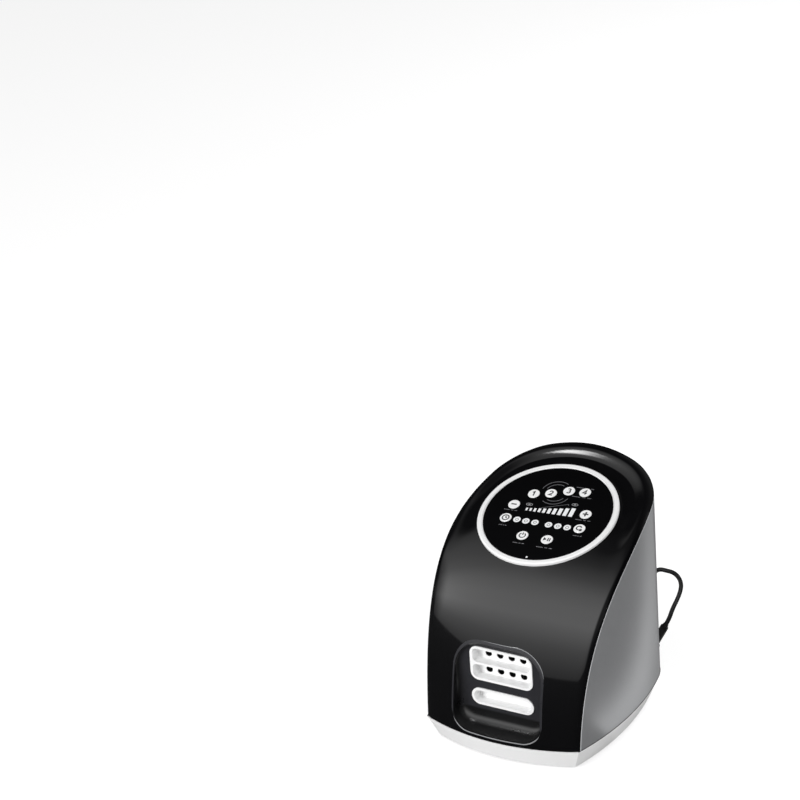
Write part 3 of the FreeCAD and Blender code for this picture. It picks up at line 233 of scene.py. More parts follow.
# plain finishes of the pieces inside and underneath: two tones, roughness, metal share,
# grain and its depth in millimetres, how the grain is stretched if it is; what the eye gets
plainFinishes = {
    "zincPlatedSteel": ("#8f9294", "#b3b6b8", 0.32, 1.0, 0.6, 0.010),  # cool and bright
    "mouldedRubber": ("#161616", "#242424", 0.75, 0.0, 0.5, 0.020),  # dull black
    "siliconeTube": ("#b9bcb8", "#cfd2ce", 0.45, 0.0, 1.5, 0.010),  # milky, soft shine
    "openCellFoam": ("#101010", "#3a3a3a", 0.95, 0.0, 0.9, 0.300),  # black and pitted
    "glassEpoxy": ("#0d4a26", "#126033", 0.40, 0.0, 0.8, 0.008),  # green lacquer
    "mouldedPhenolic": ("#161617", "#262628", 0.50, 0.0, 0.6, 0.010),  # flat dark grey
    "lampEpoxy": ("#dedccb", "#ece9da", 0.30, 0.0, 1.0, 0.004),  # warm white, glossy
    "mouldedNylon": ("#c5c4bd", "#d6d5ce", 0.42, 0.0, 0.7, 0.010),  # creamy satin
    "mouldedAcetal": ("#cfcec9", "#dddcd8", 0.35, 0.0, 0.7, 0.006),  # waxy white
    "drawnSteel": ("#7d8083", "#a0a3a6", 0.30, 1.0, 0.4, 0.010, (0.08, 1, 1)),  # long streaks
    "zincPlatedSheet": ("#8a8c8e", "#a9abad", 0.40, 0.9, 4.0, 0.010),  # cloudy spangle
    "dieCastAluminium": ("#8d8f91", "#a7a9ab", 0.48, 1.0, 0.7, 0.060),  # grainy grey
    "paintedSheet": ("#4f5357", "#5c6064", 0.45, 0.0, 0.8, 0.020),  # slate, fine peel
    "laminatedIron": ("#2e2f31", "#4a4b4e", 0.50, 0.8, 0.5, 0.050, (1, 0.1, 1)),  # thin layers
    "enamelledCopper": ("#8a3c14", "#c06a30", 0.35, 0.8, 0.6, 0.150, (1, 0.05, 0.05)),  # wound
    "polycarbonateCase": ("#0f0f10", "#19191a", 0.42, 0.0, 0.5, 0.015),  # fine spark grain
    "nickelPlatedBrass": ("#b9ae96", "#cfc6b2", 0.25, 1.0, 0.5, 0.004, (1, 0.1, 1)),  # pale gold
    "frostedGuide": ("#e9eaec", "#f6f7f8", 0.30, 0.0, 1.2, 0.003),  # even white glow
}


def plainFinish(name):
    first, second, rough, metal, grain, depth, *stretch = plainFinishes[name]
    noise = (grain, 3.0, *stretch)
    return newFinish(name, {"Metallic": metal, "IOR": 1.5}, noise, (first, second),
                     (rough - 0.05, rough + 0.05), noise, depth)


inkBlack = screenInk("blackInk", "#141416", "#1d1d20")
inkWhite = screenInk("whiteInk", "#dcdcdc", "#e8e8e8")
inkGrey = screenInk("greyInk", "#7c7c7e", "#949496")
inkDim = screenInk("dimInk", "#505052", "#66666a")
# painted highlight: grey for the bright line on the cover's edge round the bay's mouth
paintedHighlightGrey = mouldedAbs("paintedHighlightEdgeAbs", "#7c7d7f", "#929395", 0.2)
# painted shade: grey for the shaded inner slope of the dial's ring
paintedRingShade = mouldedAbs("paintedShadeRingAbs", "#a4a4a4", "#b0b0b0", 0.3)
# painted highlight: lighter silver for the bright line on the shell's edge
paintedHighlightSilver = mouldedAbs("silverHighlightAbs", "#bcbdbf", "#c8c9cb", 0.3)
# painted shade: black for the dark sockets and the shadow over the tray
shadeBlack = screenInk("paintedShadeBlack", "#0a0a0a", "#111112")

finishOfSlot = {
    "cover_black": coverBlack,
    "shell_silver": silverPaintedAbs(),
    "tray_white": mouldedAbs("whiteTrayAbs", "#f6f6f6", "#fbfbfb", 0.30),
    "bay_black": satinBlackPaintedShadeAbs(),
    "insert_white": mouldedAbs("whiteInsertAbs", "#f3f3f3", "#f9f9f9", 0.34),
    "bezel_white": mouldedAbs("whiteRingAbs", "#eeeeee", "#f4f4f4", 0.22),
    "panel_black": panelBlack,
    "key_white": mouldedAbs("whiteKeyAbs", "#f0f0f0", "#f6f6f6", 0.22),
    "lens_clear": plainFinish("frostedGuide"),
    "steel_screw": plainFinish("zincPlatedSteel"),
    "rubber_grey": plainFinish("mouldedRubber"),
    "silicone_hose": plainFinish("siliconeTube"),
    "foam_filter": plainFinish("openCellFoam"),
    "board_green": plainFinish("glassEpoxy"),
    "component_black": plainFinish("mouldedPhenolic"),
    "led_white": plainFinish("lampEpoxy"),
    "manifold_nylon": plainFinish("mouldedNylon"),
    "rotor_acetal": plainFinish("mouldedAcetal"),
    "motor_steel": plainFinish("drawnSteel"),
    "bracket_steel": plainFinish("zincPlatedSheet"),
    "pump_cast": plainFinish("dieCastAluminium"),
    "pump_lid": plainFinish("paintedSheet"),
    "magnet_steel": plainFinish("laminatedIron"),
    "winding_copper": plainFinish("enamelledCopper"),
    "cord_black": cordBlack,
    "adapter_black": plainFinish("polycarbonateCase"),
    "blade_brass": plainFinish("nickelPlatedBrass"),
}


def dressNodes():
    for part in frame["record"]["subparts"]:
        data = nodes[part["node"]].data
        data.materials.clear()
        data.materials.append(finishOfSlot[part["material_slot"]])


dressNodes()
print("CAD nodes dressed")


# pieces

def newPiece(name, data, material, body="root"):
    item = newObject(name, data)
    item.data.materials.append(material)
    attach(item, body)
    return item


def shaded(data, sharpAngle):
    data.shade_smooth()
    data.set_sharp_from_angle(angle=math.radians(sharpAngle))
    return data


def meshOf(name, points, faces, sharpAngle=35.0):
    data = bpy.data.meshes.new(name)
    data.from_pydata([tuple(p) for p in points], [], faces)
    data.validate()
    return shaded(data, sharpAngle)


# power lead, in metres: out of its relief, down behind the housing, a coil, then the adapter

powerLead = {
    "diameter": 0.0048,
    "length": 1.44,
    "route": [
        (0.0705, 0.13658, 0.05092), (0.0705, 0.14428, 0.05342), (0.0699, 0.1540, 0.0608),
        (0.0717, 0.1634, 0.0690), (0.0725, 0.1705, 0.0771), (0.0700, 0.1759, 0.0829),
        (0.0645, 0.1797, 0.0872), (0.0576, 0.1816, 0.0895), (0.0494, 0.1829, 0.0890),
        (0.0403, 0.1859, 0.0875), (0.0321, 0.1890, 0.0819), (0.0265, 0.1901, 0.0700),
        (0.0226, 0.1904, 0.0549), (0.0189, 0.1905, 0.0390), (0.0145, 0.1909, 0.0240),
        (0.0087, 0.1913, 0.0111), (0.0017, 0.1912, 0.0046), (-0.0060, 0.1902, 0.0025),
    ],
    "tail": [
        (-0.0230, 0.1896, 0.0074), (-0.0325, 0.1919, 0.0080), (-0.0425, 0.1958, 0.0092),
        (-0.0530, 0.1994, 0.0107), (-0.0635, 0.2004, 0.0122), (-0.0725, 0.1974, 0.0133),
        (-0.0783, 0.1904, 0.0139), (-0.0800, 0.1812, 0.0140),
    ],
    "coilCentre": (-0.0140, 0.1600),
    "coilStart": 90.0,
    "innerTurn": 0.0241,
    "outerTurn": 0.0289,
    "lowest": 0.0025,
    "pointsPerTurn": 16,
    # each turn ends in the inner (0) or outer (1) column on a layer, and steps over at a share
    "turns": [(0, 0, 0.75), (0, 1, 0.5), (0, 2, 0.5), (0, 3, 0.5), (1, 3, 0.25), (1, 2, 0.0),
              (1, 1, 0.0)],
    "stepLength": 0.25,
    "sideSteps": 6,
    "stepsAlong": 8,
}


def coilPoints():
    points = []
    count = powerLead["pointsPerTurn"]
    centre = powerLead["coilCentre"]
    inner, outer = powerLead["innerTurn"], powerLead["outerTurn"]
    swell = 1 / math.cos(math.pi / count)
    column, layer = 1, 0
    for nextColumn, nextLayer, stepAt in powerLead["turns"]:
        for number in range(count):
            share = number / count
            moved = min(max((share - stepAt) / powerLead["stepLength"], 0.0), 1.0)
            across = column + (nextColumn - column) * moved
            up = layer + (nextLayer - layer) * moved
            radius = (inner + (outer - inner) * across) * swell
            angle = math.radians(powerLead["coilStart"]) + 2 * math.pi * share
            points.append((centre[0] + radius * math.cos(angle),
                           centre[1] + radius * math.sin(angle),
                           powerLead["lowest"] + up * powerLead["diameter"]))
        column, layer = nextColumn, nextLayer
    return points


def makePowerLead():
    curve = bpy.data.curves.new("power_lead", "CURVE")
    curve.dimensions = "3D"
    curve.bevel_depth = powerLead["diameter"] / 2
    curve.bevel_resolution = powerLead["sideSteps"]
    curve.use_fill_caps = True
    points = powerLead["route"] + coilPoints() + powerLead["tail"]
    spline = curve.splines.new("NURBS")
    spline.points.add(len(points) - 1)
    for spot, place in zip(spline.points, points):
        spot.co = (*place, 1.0)
    spline.order_u = 3
    spline.use_endpoint_u = True
    spline.resolution_u = powerLead["stepsAlong"]
    item = newPiece("power_lead", curve, cordBlack)
    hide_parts("power_cord", "cord_coil")


makePowerLead()
print("power lead laid")


# front cover: the solids' sweep and plan, in millimetres from the line of the front corners

housing = {
    "frontWidth": 180.0,
    "frontBulge": 19.2,
    "sideRadius": 338.0,
    "sideFlare": 16.5,
    "sideTurn": 13.1,
    "quarterRadius": 67.0,
    "quarterTurn": 74.5,
    "sweepSpan": 125.0,
    "sideCurve": [(37.5, 229.4), (200.5, 179.4), (260.5, 230.7)],
    "crownCurve": [(-1.3, 264.7), (163.0, 189.1), (245.5, 242.5)],
    "wall": 2.2,
}
dial = {"radius": 75.5, "tilt": 17.4, "panelThickness": 3.0, "gap": 0.3}
bayMouth = {
    "half": 53.5,
    "low": 4.0,
    "high": 106.0,
    "lowRadius": 22.0,
    "highRadius": 34.0,
    "cut": (-60.0, 20.0),  # how far ahead and behind the line of the corners it is cut
}
cover = {
    "rows": 130,
    "columns": 96,
    "trialRows": 600,
    "edgeRound": 5.5,
    "edgeDrop": 1.3,
    "backMargin": 0.012,
    # places and widths are shares of the way from the dial to the edge, fades are in degrees
    "valleyDepth": 4.2,
    "valleyAt": 0.28,
    "valleyWidth": 0.44,
    "rollHeight": 2.2,
    "rollAt": 0.76,
    "rollWidth": 0.24,
    "fadeFrom": 60.0,
    "fadeOver": 65.0,
    "dialReach": 30.0,
    "dialSides": 180,
    "sharpAngle": 35.0,
}

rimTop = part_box("rear_shell")[0].z / mm
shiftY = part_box("base_tray")[0].y / mm + housing["frontBulge"]


def towards(degrees):
    return Vector((math.cos(math.radians(degrees)), math.sin(math.radians(degrees))))


def planCircles():
    # the three arcs of one side, front to back: centre, radius and the angle where it ends
    side, quarter = housing["sideRadius"], housing["quarterRadius"]
    sideCentre = Vector((housing["frontWidth"] / 2, 0)) - towards(-housing["sideFlare"]) * side
    quarterCentre = sideCentre + towards(housing["sideTurn"]) * (side - quarter)
    turn = towards(housing["quarterTurn"])
    rear = quarter + quarterCentre.x / turn.x
    rearCentre = quarterCentre - turn * (rear - quarter)
    return [(sideCentre, side, housing["sideTurn"]),
            (quarterCentre, quarter, housing["quarterTurn"]), (rearCentre, rear, 180.0)]


planArcs = planCircles()
quarterCentre = planArcs[1][0]
backY = planArcs[2][0].y + planArcs[2][1]
sideStart = (2 * housing["sweepSpan"] / housing["frontWidth"]) ** 2 - 1
sideCurve = [(housing["frontBulge"] * sideStart, 0.0)] + housing["sideCurve"]
crownCurve = [(-housing["frontBulge"], 0.0)] + housing["crownCurve"]


def planInset(x, y):
    # how far a place lies inside the outline
    place = Vector((abs(x), y))
    for centre, radius, last in planArcs:
        out = place - centre
        if math.degrees(math.atan2(out.y, out.x)) <= last:
            return radius - out.length
    return 0.0


def halfWidth(y):
    for centre, radius, last in planArcs:
        if y <= centre.y + radius * math.sin(math.radians(min(last, 90.0))):
            return centre.x + math.sqrt(max(radius ** 2 - (y - centre.y) ** 2, 0.0))
    return 0.0


def bezier(points, t):
    weights = ((1 - t) ** 3, 3 * t * (1 - t) ** 2, 3 * t ** 2 * (1 - t), t ** 3)
    return [sum(w * p[axis] for w, p in zip(weights, points)) for axis in (0, 1)]


def sweepPoint(t, x, sink=0.0):
    share = (x / housing["sweepSpan"]) ** 2
    side, crown = bezier(sideCurve, t), bezier(crownCurve, t)
    return Vector((x, side[0] * share + crown[0] * (1 - share) + sink,
                   side[1] * share + crown[1] * (1 - share) + rimTop - sink))


def sweepNormal(t, x, step=1e-4):
    along = sweepPoint(t + step, x) - sweepPoint(t - step, x)
    across = sweepPoint(t, x + step) - sweepPoint(t, x - step)
    return across.cross(along).normalized()


def edgeAt(t, sink, guess=50.0, tries=30):
    # half the width of the cover at t, where the sweep meets the plan
    x = guess
    for attempt in range(tries):
        x = halfWidth(sweepPoint(t, x, sink).y)
    return x


def solved(test, low, high, tries=50):
    # the place between low and high where test stops being true
    for attempt in range(tries):
        middle = (low + high) / 2
        if test(middle):
            low = middle
        else:
            high = middle
    return low


dialLean = math.radians(dial["tilt"])
dialNormal = Vector((0, -math.sin(dialLean), math.cos(dialLean)))
dialUp = Vector((0, dialNormal.z, -dialNormal.y))
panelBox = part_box("dial_panel")
dialCentre = (panelBox[0] + panelBox[1]) / 2 / mm + dialNormal * dial["panelThickness"] / 2


def toRow(point):
    return (point + Vector((0, shiftY, 0))) * mm


def smoothStep(share):
    share = min(max(share, 0.0), 1.0)
    return share * share * (3 - 2 * share)


def hump(share, middle, width):
    return math.cos(math.pi / 2 * min(abs(share - middle) / width, 1.0)) ** 2


def reliefAt(point):
    # rounded outer edge, hollow behind the dial's ring and the roll beyond it
    inset = max(planInset(point.x, point.y), 0.0)
    relief = -cover["edgeDrop"] * max(1 - inset / cover["edgeRound"], 0.0) ** 2
    offset = point + Vector((0, shiftY, 0)) - dialCentre
    u, v = offset.x, offset.dot(dialUp)
    gap = max(math.hypot(u, v) - dial["radius"], 0.0)
    around = math.degrees(math.atan2(abs(u), v))
    fade = 1 - smoothStep((around - cover["fadeFrom"]) / cover["fadeOver"])
    share = gap / max(gap + inset, 1e-6)
    relief -= fade * cover["valleyDepth"] * hump(share, cover["valleyAt"], cover["valleyWidth"])
    relief += fade * cover["rollHeight"] * hump(share, cover["rollAt"], cover["rollWidth"])
    return relief


def sheetRows(sink):
    # rows evenly spaced along the outline's edge on the surface
    reach = backY - cover["backMargin"]
    first = solved(lambda t: sweepPoint(t, 0.0, sink).z < rimTop, 0.0, 0.5) if sink else 0.0
    last = solved(lambda t: sweepPoint(t, 0.0, sink).y < reach, 0.5, 1.0)
    count = cover["trialRows"]
    spots = [first + (last - first) * (1 - (1 - i / count) ** 2) for i in range(count + 1)]
    edges = [sweepPoint(t, edgeAt(t, sink), sink) for t in spots]
    lengths = [0.0]
    for a, b in zip(edges, edges[1:]):
        lengths.append(lengths[-1] + (b - a).length)
    rows = []
    index = 0
    for number in range(cover["rows"] + 1):
        wanted = lengths[-1] * number / cover["rows"]
        while index < count - 1 and lengths[index + 1] < wanted:
            index += 1
        share = (wanted - lengths[index]) / (lengths[index + 1] - lengths[index])
        rows.append(spots[index] + (spots[index + 1] - spots[index]) * min(share, 1.0))
    return rows


def sheetPoints(sink, shaped):
    points = []
    for t in sheetRows(sink):
        edge = edgeAt(t, sink)
        for column in range(cover["columns"] + 1):
            x = edge * (2 * column / cover["columns"] - 1)
            point = sweepPoint(t, x, sink)
            if shaped:
                point += sweepNormal(t, x) * reliefAt(point)
            points.append(toRow(point))
    return points


def bayOutline(steps=12):
    # rounded outline of the bay's mouth, as (x, height above the rim)
    low, high = bayMouth["lowRadius"], bayMouth["highRadius"]
    right = []
    for level, radius, start in ((bayMouth["low"] + low, low, -90),
                                 (bayMouth["high"] - high, high, 0)):
        for step in range(steps + 1):
            out = towards(start + 90 * step / steps)
            right.append((bayMouth["half"] - radius + radius * out.x, level + radius * out.y))
    return right + [(-x, z) for x, z in reversed(right)]


def prismMesh(name, low, high):
    # closed solid between two rings of points
    count = len(low)
    faces = [tuple(reversed(range(count))), tuple(range(count, 2 * count))]
    faces += [(i, (i + 1) % count, count + (i + 1) % count, count + i) for i in range(count)]
    return meshOf(name, low + high, faces)


def carved(item, cutterData):
    cutter = newObject("cutter", cutterData)
    carve = item.modifiers.new("carve", "BOOLEAN")
    carve.operation = "DIFFERENCE"
    carve.object = cutter
    carve.solver = "EXACT"
    shaped = item.evaluated_get(bpy.context.evaluated_depsgraph_get())
    data = bpy.data.meshes.new_from_object(shaped)
    item.modifiers.clear()
    item.data = data
    bpy.data.objects.remove(cutter)


def dialPoint(u, v, height):
    # a place on the dial, right and up from its centre and above its face, in the row's metres
    return (dialCentre + Vector((u, 0, 0)) + dialUp * v + dialNormal * height) * mm


def circleOutline(radius, flat=1.0, u=0.0, v=0.0, count=32):
    angles = [2 * math.pi * i / count for i in range(count)]
    return [(u + radius * math.cos(a), v + radius * flat * math.sin(a)) for a in angles]


def makeCover():
    across = cover["columns"] + 1
    down = cover["rows"] + 1
    total = across * down
    points = sheetPoints(0.0, True) + sheetPoints(housing["wall"], False)
    faces = []
    for row in range(cover["rows"]):
        for column in range(cover["columns"]):
            a = row * across + column
            faces.append((a, a + 1, a + across + 1, a + across))
            faces.append((total + a, total + a + across, total + a + across + 1, total + a + 1))
    border = list(range(across))
    border += [row * across + across - 1 for row in range(1, down)]
    border += [total - 1 - column for column in range(1, across)]
    border += [row * across for row in range(down - 2, 0, -1)]
    for a, b in zip(border, border[1:] + border[:1]):
        faces.append((b, a, total + a, total + b))
    name = "front_cover_gloss"
    item = newPiece(name, meshOf(name, points, faces), coverBlack)
    opening = circleOutline(dial["radius"] + dial["gap"], count=cover["dialSides"])
    low, high = [[dialPoint(u, v, side * cover["dialReach"]) for u, v in opening]
                 for side in (-1, 1)]
    carved(item, prismMesh("dialCutter", low, high))
    near, far = [[toRow(Vector((x, y, z + rimTop))) for x, z in bayOutline()]
                 for y in bayMouth["cut"]]
    carved(item, prismMesh("bayCutter", far, near))
    shaded(item.data, cover["sharpAngle"])
    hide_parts("front_cover")


makeCover()
print("front cover modelled")


# dial print: places and sizes in millimetres on the dial, everything turned by the same lean

dialPrint = {
    "lean": 4.3,
    "keyTop": 0.30,
    "panelTop": 0.0,
    "lineHeight": 0.05,
    "keyPlaces": {
        "key_mode_1": (-28.6, 23.6), "key_mode_2": (-10.8, 29.1), "key_mode_3": (6.6, 37.3),
        "key_mode_4": (24.4, 39.7), "key_pressure_down": (-42.0, 3.4),
        "key_pressure_up": (39.6, 9.8), "key_timer": (-41.6, -17.3),
        "key_programme": (42.6, -11.4), "key_power": (-11.9, -36.9),
        "key_start_pause": (16.4, -35.5),
    },
    "lampPlaces": [(-28.5, -16.7), (-18.1, -16.2), (-7.7, -15.6), (8.0, -14.9), (18.6, -14.2),
                   (29.2, -13.4)],
    "lampRadius": 1.6,
    "lampWidth": 0.8,
    "digitWidth": 1.3,
    "signWidth": 1.6,
    "handWidth": 1.1,
    "powerWidth": 1.2,
    # captions stand as plain dashes: (middle, length)
    "captions": [((-41.8, -5.3), 15.0), ((-39.8, -28.2), 9.0), ((-11.1, -48.3), 13.0),
                 ((18.7, -47.2), 18.0), ((40.6, 0.9), 17.0), ((45.1, -21.9), 10.0),
                 ((22.0, 45.6), 20.0), ((24.0, 32.0), 22.0)],
    "captionWidth": 0.9,
    "dashes": [(-1, -0.15), (0.05, 0.4), (0.6, 1)],  # shares of half the caption
    "arcsAt": (-5.9, 31.0),
    # rings of arcs behind the upper keys: (radius, first and last angle)
    "arcs": [(17.0, 60, 168), (12.5, 66, 160), (17.0, 236, 340), (12.5, 244, 330)],
    "arcWidth": 0.7,
    "ovals": [(-25.8, 7.6), (22.1, 20.0)],
    "ovalRing": (3.4, 0.5),  # half its width, and its height as a share of the width
    "ovalRingWidth": 0.6,
    "ovalPupil": (1.4, 0.6),
    "riseLine": [(-11.6, 6.8), (-2.0, 10.4), (16.5, 17.4), (17.4, 15.4)],
    "riseWidth": 0.45,
    "markAt": (7.2, -64.9),
    "mark": [(-1.1, -1.0), (1.1, -1.0), (0.8, 1.2), (-0.8, 1.2)],
}


def arcLine(radius, first, last, u=0.0, v=0.0, steps=24):
    angles = [math.radians(first + (last - first) * i / steps) for i in range(steps + 1)]
    return [(u + radius * math.cos(a), v + radius * math.sin(a)) for a in angles]


def strokeSolid(points, width, closed=False, leastMitre=0.4):
    # a line of even width with mitred corners, as rings of four points
    count = len(points)
    rings = []
    for number, (u, v) in enumerate(points):
        before = points[number - 1] if closed or number > 0 else points[number]
        after = points[(number + 1) % count] if closed or number < count - 1 else points[number]
        into = Vector((u - before[0], v - before[1]))
        out = Vector((after[0] - u, after[1] - v))
        into = into.normalized() if into.length > 0 else out.normalized()
        out = out.normalized() if out.length > 0 else into
        along = (into + out).normalized()
        reach = width / 2 / max(along.dot(into), leastMitre)
        aside = Vector((-along.y, along.x)) * reach
        rings.append([(u + aside.x, v + aside.y, 1), (u - aside.x, v - aside.y, 1),
                      (u - aside.x, v - aside.y, 0), (u + aside.x, v + aside.y, 0)])
    faces = []
    for number in range(count if closed else count - 1):
        a = 4 * number
        b = 4 * ((number + 1) % count)
        faces += [(a + i, a + (i + 1) % 4, b + (i + 1) % 4, b + i) for i in range(4)]
    if not closed:
        last = 4 * (count - 1)
        faces += [(3, 2, 1, 0), (last, last + 1, last + 2, last + 3)]
    return [p for ring in rings for p in ring], faces


def plateSolid(outline):
    # a filled shape, its outline counter-clockwise
    count = len(outline)
    points = [(u, v, 1) for u, v in outline] + [(u, v, 0) for u, v in outline]
    faces = [tuple(range(count)), tuple(reversed(range(count, 2 * count)))]
    faces += [(count + i, count + (i + 1) % count, (i + 1) % count, i) for i in range(count)]
    return points, faces


def printPiece(name, solids, at, material, body="root", level=dialPrint["panelTop"]):
    lean = math.radians(dialPrint["lean"])
    points, faces = [], []
    for solidPoints, solidFaces in solids:
        start = len(points)
        for u, v, up in solidPoints:
            across = at[0] + u * math.cos(lean) - v * math.sin(lean)
            above = at[1] + u * math.sin(lean) + v * math.cos(lean)
            points.append(dialPoint(across, above, level + up * dialPrint["lineHeight"]))
        faces += [tuple(start + i for i in face) for face in solidFaces]
    newPiece(name, meshOf(name, points, faces, sharpAngle=30.0), material, body)


def keyIcons():
    # outlines and lines from the middle of each key
    digit, sign = dialPrint["digitWidth"], dialPrint["signWidth"]
    hand, power = dialPrint["handWidth"], dialPrint["powerWidth"]
    arm, half = 3.2, 0.85
    plus = [(arm, -half), (arm, half), (half, half), (half, arm), (-half, arm), (-half, half),
            (-arm, half), (-arm, -half), (-half, -half), (-half, -arm), (half, -arm),
            (half, -half)]
    two = arcLine(1.8, 165, -35, 0, 1.3) + [(-1.7, -2.7), (2.1, -2.7)]
    three = arcLine(1.5, 150, -60, 0, 1.5) + arcLine(1.8, 60, -150, 0, -1.3)
    return {
        "key_mode_1": [strokeSolid([(-1.6, 1.5), (0.4, 3.0), (0.4, -3.1)], digit)],
        "key_mode_2": [strokeSolid(two, digit)],
        "key_mode_3": [strokeSolid(three, digit)],
        "key_mode_4": [strokeSolid([(0.9, -3.1), (0.9, 3.0), (-2.1, -1.0), (2.3, -1.0)], digit)],
        "key_pressure_down": [strokeSolid([(-3.0, 0), (3.0, 0)], sign)],
        "key_pressure_up": [plateSolid(plus)],
        "key_timer": [strokeSolid(circleOutline(3.6), digit, True),
                      strokeSolid([(0, 2.3), (0, 0), (1.8, -1.0)], hand)],
        "key_programme": [strokeSolid(arcLine(2.7, 20, 285, -0.6, 0.5), digit),
                          plateSolid(circleOutline(1.7, 1.0, 2.0, -2.1))],
        "key_power": [strokeSolid(arcLine(3.3, 125, 415), power),
                      strokeSolid([(0, 4.0), (0, 0.6)], power)],
        "key_start_pause": [plateSolid([(-4.0, -2.5), (-0.2, 0), (-4.0, 2.5)]),
                            strokeSolid([(1.2, 2.3), (1.2, -2.3)], digit),
                            strokeSolid([(3.3, 2.3), (3.3, -2.3)], digit)],
    }


def makeDialPrint():
    for node, solids in keyIcons().items():
        printPiece(node + "_icon", solids, dialPrint["keyPlaces"][node], inkBlack,
                   node, dialPrint["keyTop"])
    ring = strokeSolid(circleOutline(dialPrint["lampRadius"]), dialPrint["lampWidth"], True)
    for number, place in enumerate(dialPrint["lampPlaces"], 1):
        printPiece("lamp_mark_" + str(number), [ring], place, inkGrey)
    arcs = [strokeSolid(arcLine(*arc), dialPrint["arcWidth"]) for arc in dialPrint["arcs"]]
    printPiece("dial_arcs", arcs, dialPrint["arcsAt"], inkDim)
    for number, (place, length) in enumerate(dialPrint["captions"], 1):
        dashes = [strokeSolid([(end * length / 2, 0) for end in dash], dialPrint["captionWidth"])
                  for dash in dialPrint["dashes"]]
        printPiece("caption_" + str(number), dashes, place, inkDim)
    eye = [strokeSolid(circleOutline(*dialPrint["ovalRing"]), dialPrint["ovalRingWidth"], True),
           plateSolid(circleOutline(*dialPrint["ovalPupil"]))]
    for number, place in enumerate(dialPrint["ovals"], 1):
        printPiece("oval_mark_" + str(number), eye, place, inkGrey)
    rise = strokeSolid(dialPrint["riseLine"], dialPrint["riseWidth"])
    printPiece("rise_line", [rise], (0, 0), inkDim)
    printPiece("dial_mark", [plateSolid(dialPrint["mark"])], dialPrint["markAt"], inkWhite)


makeDialPrint()
print("dial print laid")


# grey sheet on the inner slope of the dial's ring, and black linings in the hose sockets: both
# painted shade

ringSlope = {"inner": (69.45, 0.48), "outer": (70.45, 1.30), "thickness": 0.08, "sides": 180}
socketShade = {"radius": 3.82, "wall": 0.35, "depth": 9.0, "setback": 0.5, "core": 0.02,
              "sides": 32}


def turnedMesh(name, profile, place, count):
    # closed profile of (radius, height) turned round an axis; place gives the row's point
    points, faces = [], []
    rows = len(profile)
    for turn in range(count):
        angle = 2 * math.pi * turn / count
        points += [place(r * math.cos(angle), r * math.sin(angle), h) for r, h in profile]
        a = rows * turn
        b = rows * ((turn + 1) % count)
        faces += [(a + i, b + i, b + (i + 1) % rows, a + (i + 1) % rows) for i in range(rows)]
    return meshOf(name, points, faces, sharpAngle=40.0)


def makeRingSlope():
    # a thin grey sheet on the ring's inner slope: painted shade
    (r0, h0), (r1, h1) = ringSlope["inner"], ringSlope["outer"]
    thick = ringSlope["thickness"]
    profile = [(r0, h0 - thick), (r1, h1 - thick), (r1, h1), (r0, h0)]
    newPiece("ring_slope_shade", turnedMesh("ring_slope_shade", profile, dialPoint, ringSlope["sides"]),
             paintedRingShade)


def makeSocketShades():
    # one black lining in each hose socket as painted shade, open to the front and closed behind
    outer, depth, core = socketShade["radius"], socketShade["depth"], socketShade["core"]
    inner, bottom = outer - socketShade["wall"], depth - socketShade["wall"]
    profile = [(core, depth), (outer, depth), (outer, 0), (inner, 0), (inner, bottom),
               (core, bottom)]
    for mount in frame["record"]["mounts"]:
        if mount["kind"] != "bore":
            continue
        axis = Vector(mount["axis"])
        mouth = Vector(mount["pos_m"]) + axis * mount["dims"]["length_mm"] / 2 * mm
        mouth -= axis * socketShade["setback"] * mm

        def place(across, up, back):
            return mouth + Vector((across, back, up)) * mm

        name = mount["name"].replace("socket", "socket_shade")
        newPiece(name, turnedMesh(name, profile, place, socketShade["sides"]), shadeBlack)


makeRingSlope()
makeSocketShades()
print("ring slope and socket seals set")


# thin round lines: a grey bead round the bay's mouth and a lighter silver line on the shell's
# edge as painted highlights, and a black joint over the tray as painted shadow

# the grey tube of painted highlight round the bay's mouth
bayHighlightBead = {
    "radius": 0.62,
    "lipRadius": 0.80,
    "least": 0.06,
    "fadeLow": (7.0, 24.0),
    "fadeHigh": (50.0, 96.0),
    "leftShare": 0.6,
    "fadeLeft": (-30.0, 30.0),
    "sink": 0.42,
    "step": 3.0,
    "cornerSteps": 16,
}
trayJoint = {"radius": 0.44, "sink": 0.12, "step": 3.0}
shellHighlight = {"radius": 0.55, "sink": 0.32, "rowStep": 3}


def frontY(x, height):
    # how far back the front surface lies at a height above the rim
    t = solved(lambda t: sweepPoint(t, x).z - rimTop < height, 0.0, 0.6)
    return sweepPoint(t, x).y


def makeTube(name, path, radii, material, closed=False, sides=8):
    # round tube of changing radius along a path
    count = len(path)
    points, faces = [], []
    for number, place in enumerate(path):
        before = path[number - 1] if closed or number > 0 else place
        after = path[(number + 1) % count] if closed or number < count - 1 else place
        along = (after - before).normalized()
        aside = along.cross(Vector((0, 1, 0))).normalized()
        other = aside.cross(along)
        for side in range(sides):
            angle = 2 * math.pi * side / sides
            out = aside * math.cos(angle) + other * math.sin(angle)
            points.append(toRow(place + out * radii[number]))
    for number in range(count if closed else count - 1):
        a = sides * number
        b = sides * ((number + 1) % count)
        faces += [(a + i, b + i, b + (i + 1) % sides, a + (i + 1) % sides) for i in range(sides)]
    if not closed:
        last = sides * (count - 1)
        faces += [tuple(reversed(range(sides))), tuple(range(last, last + sides))]
    newPiece(name, meshOf(name, points, faces, sharpAngle=80.0), material)


def fadeBetween(value, ends):
    return smoothStep((value - ends[0]) / (ends[1] - ends[0]))


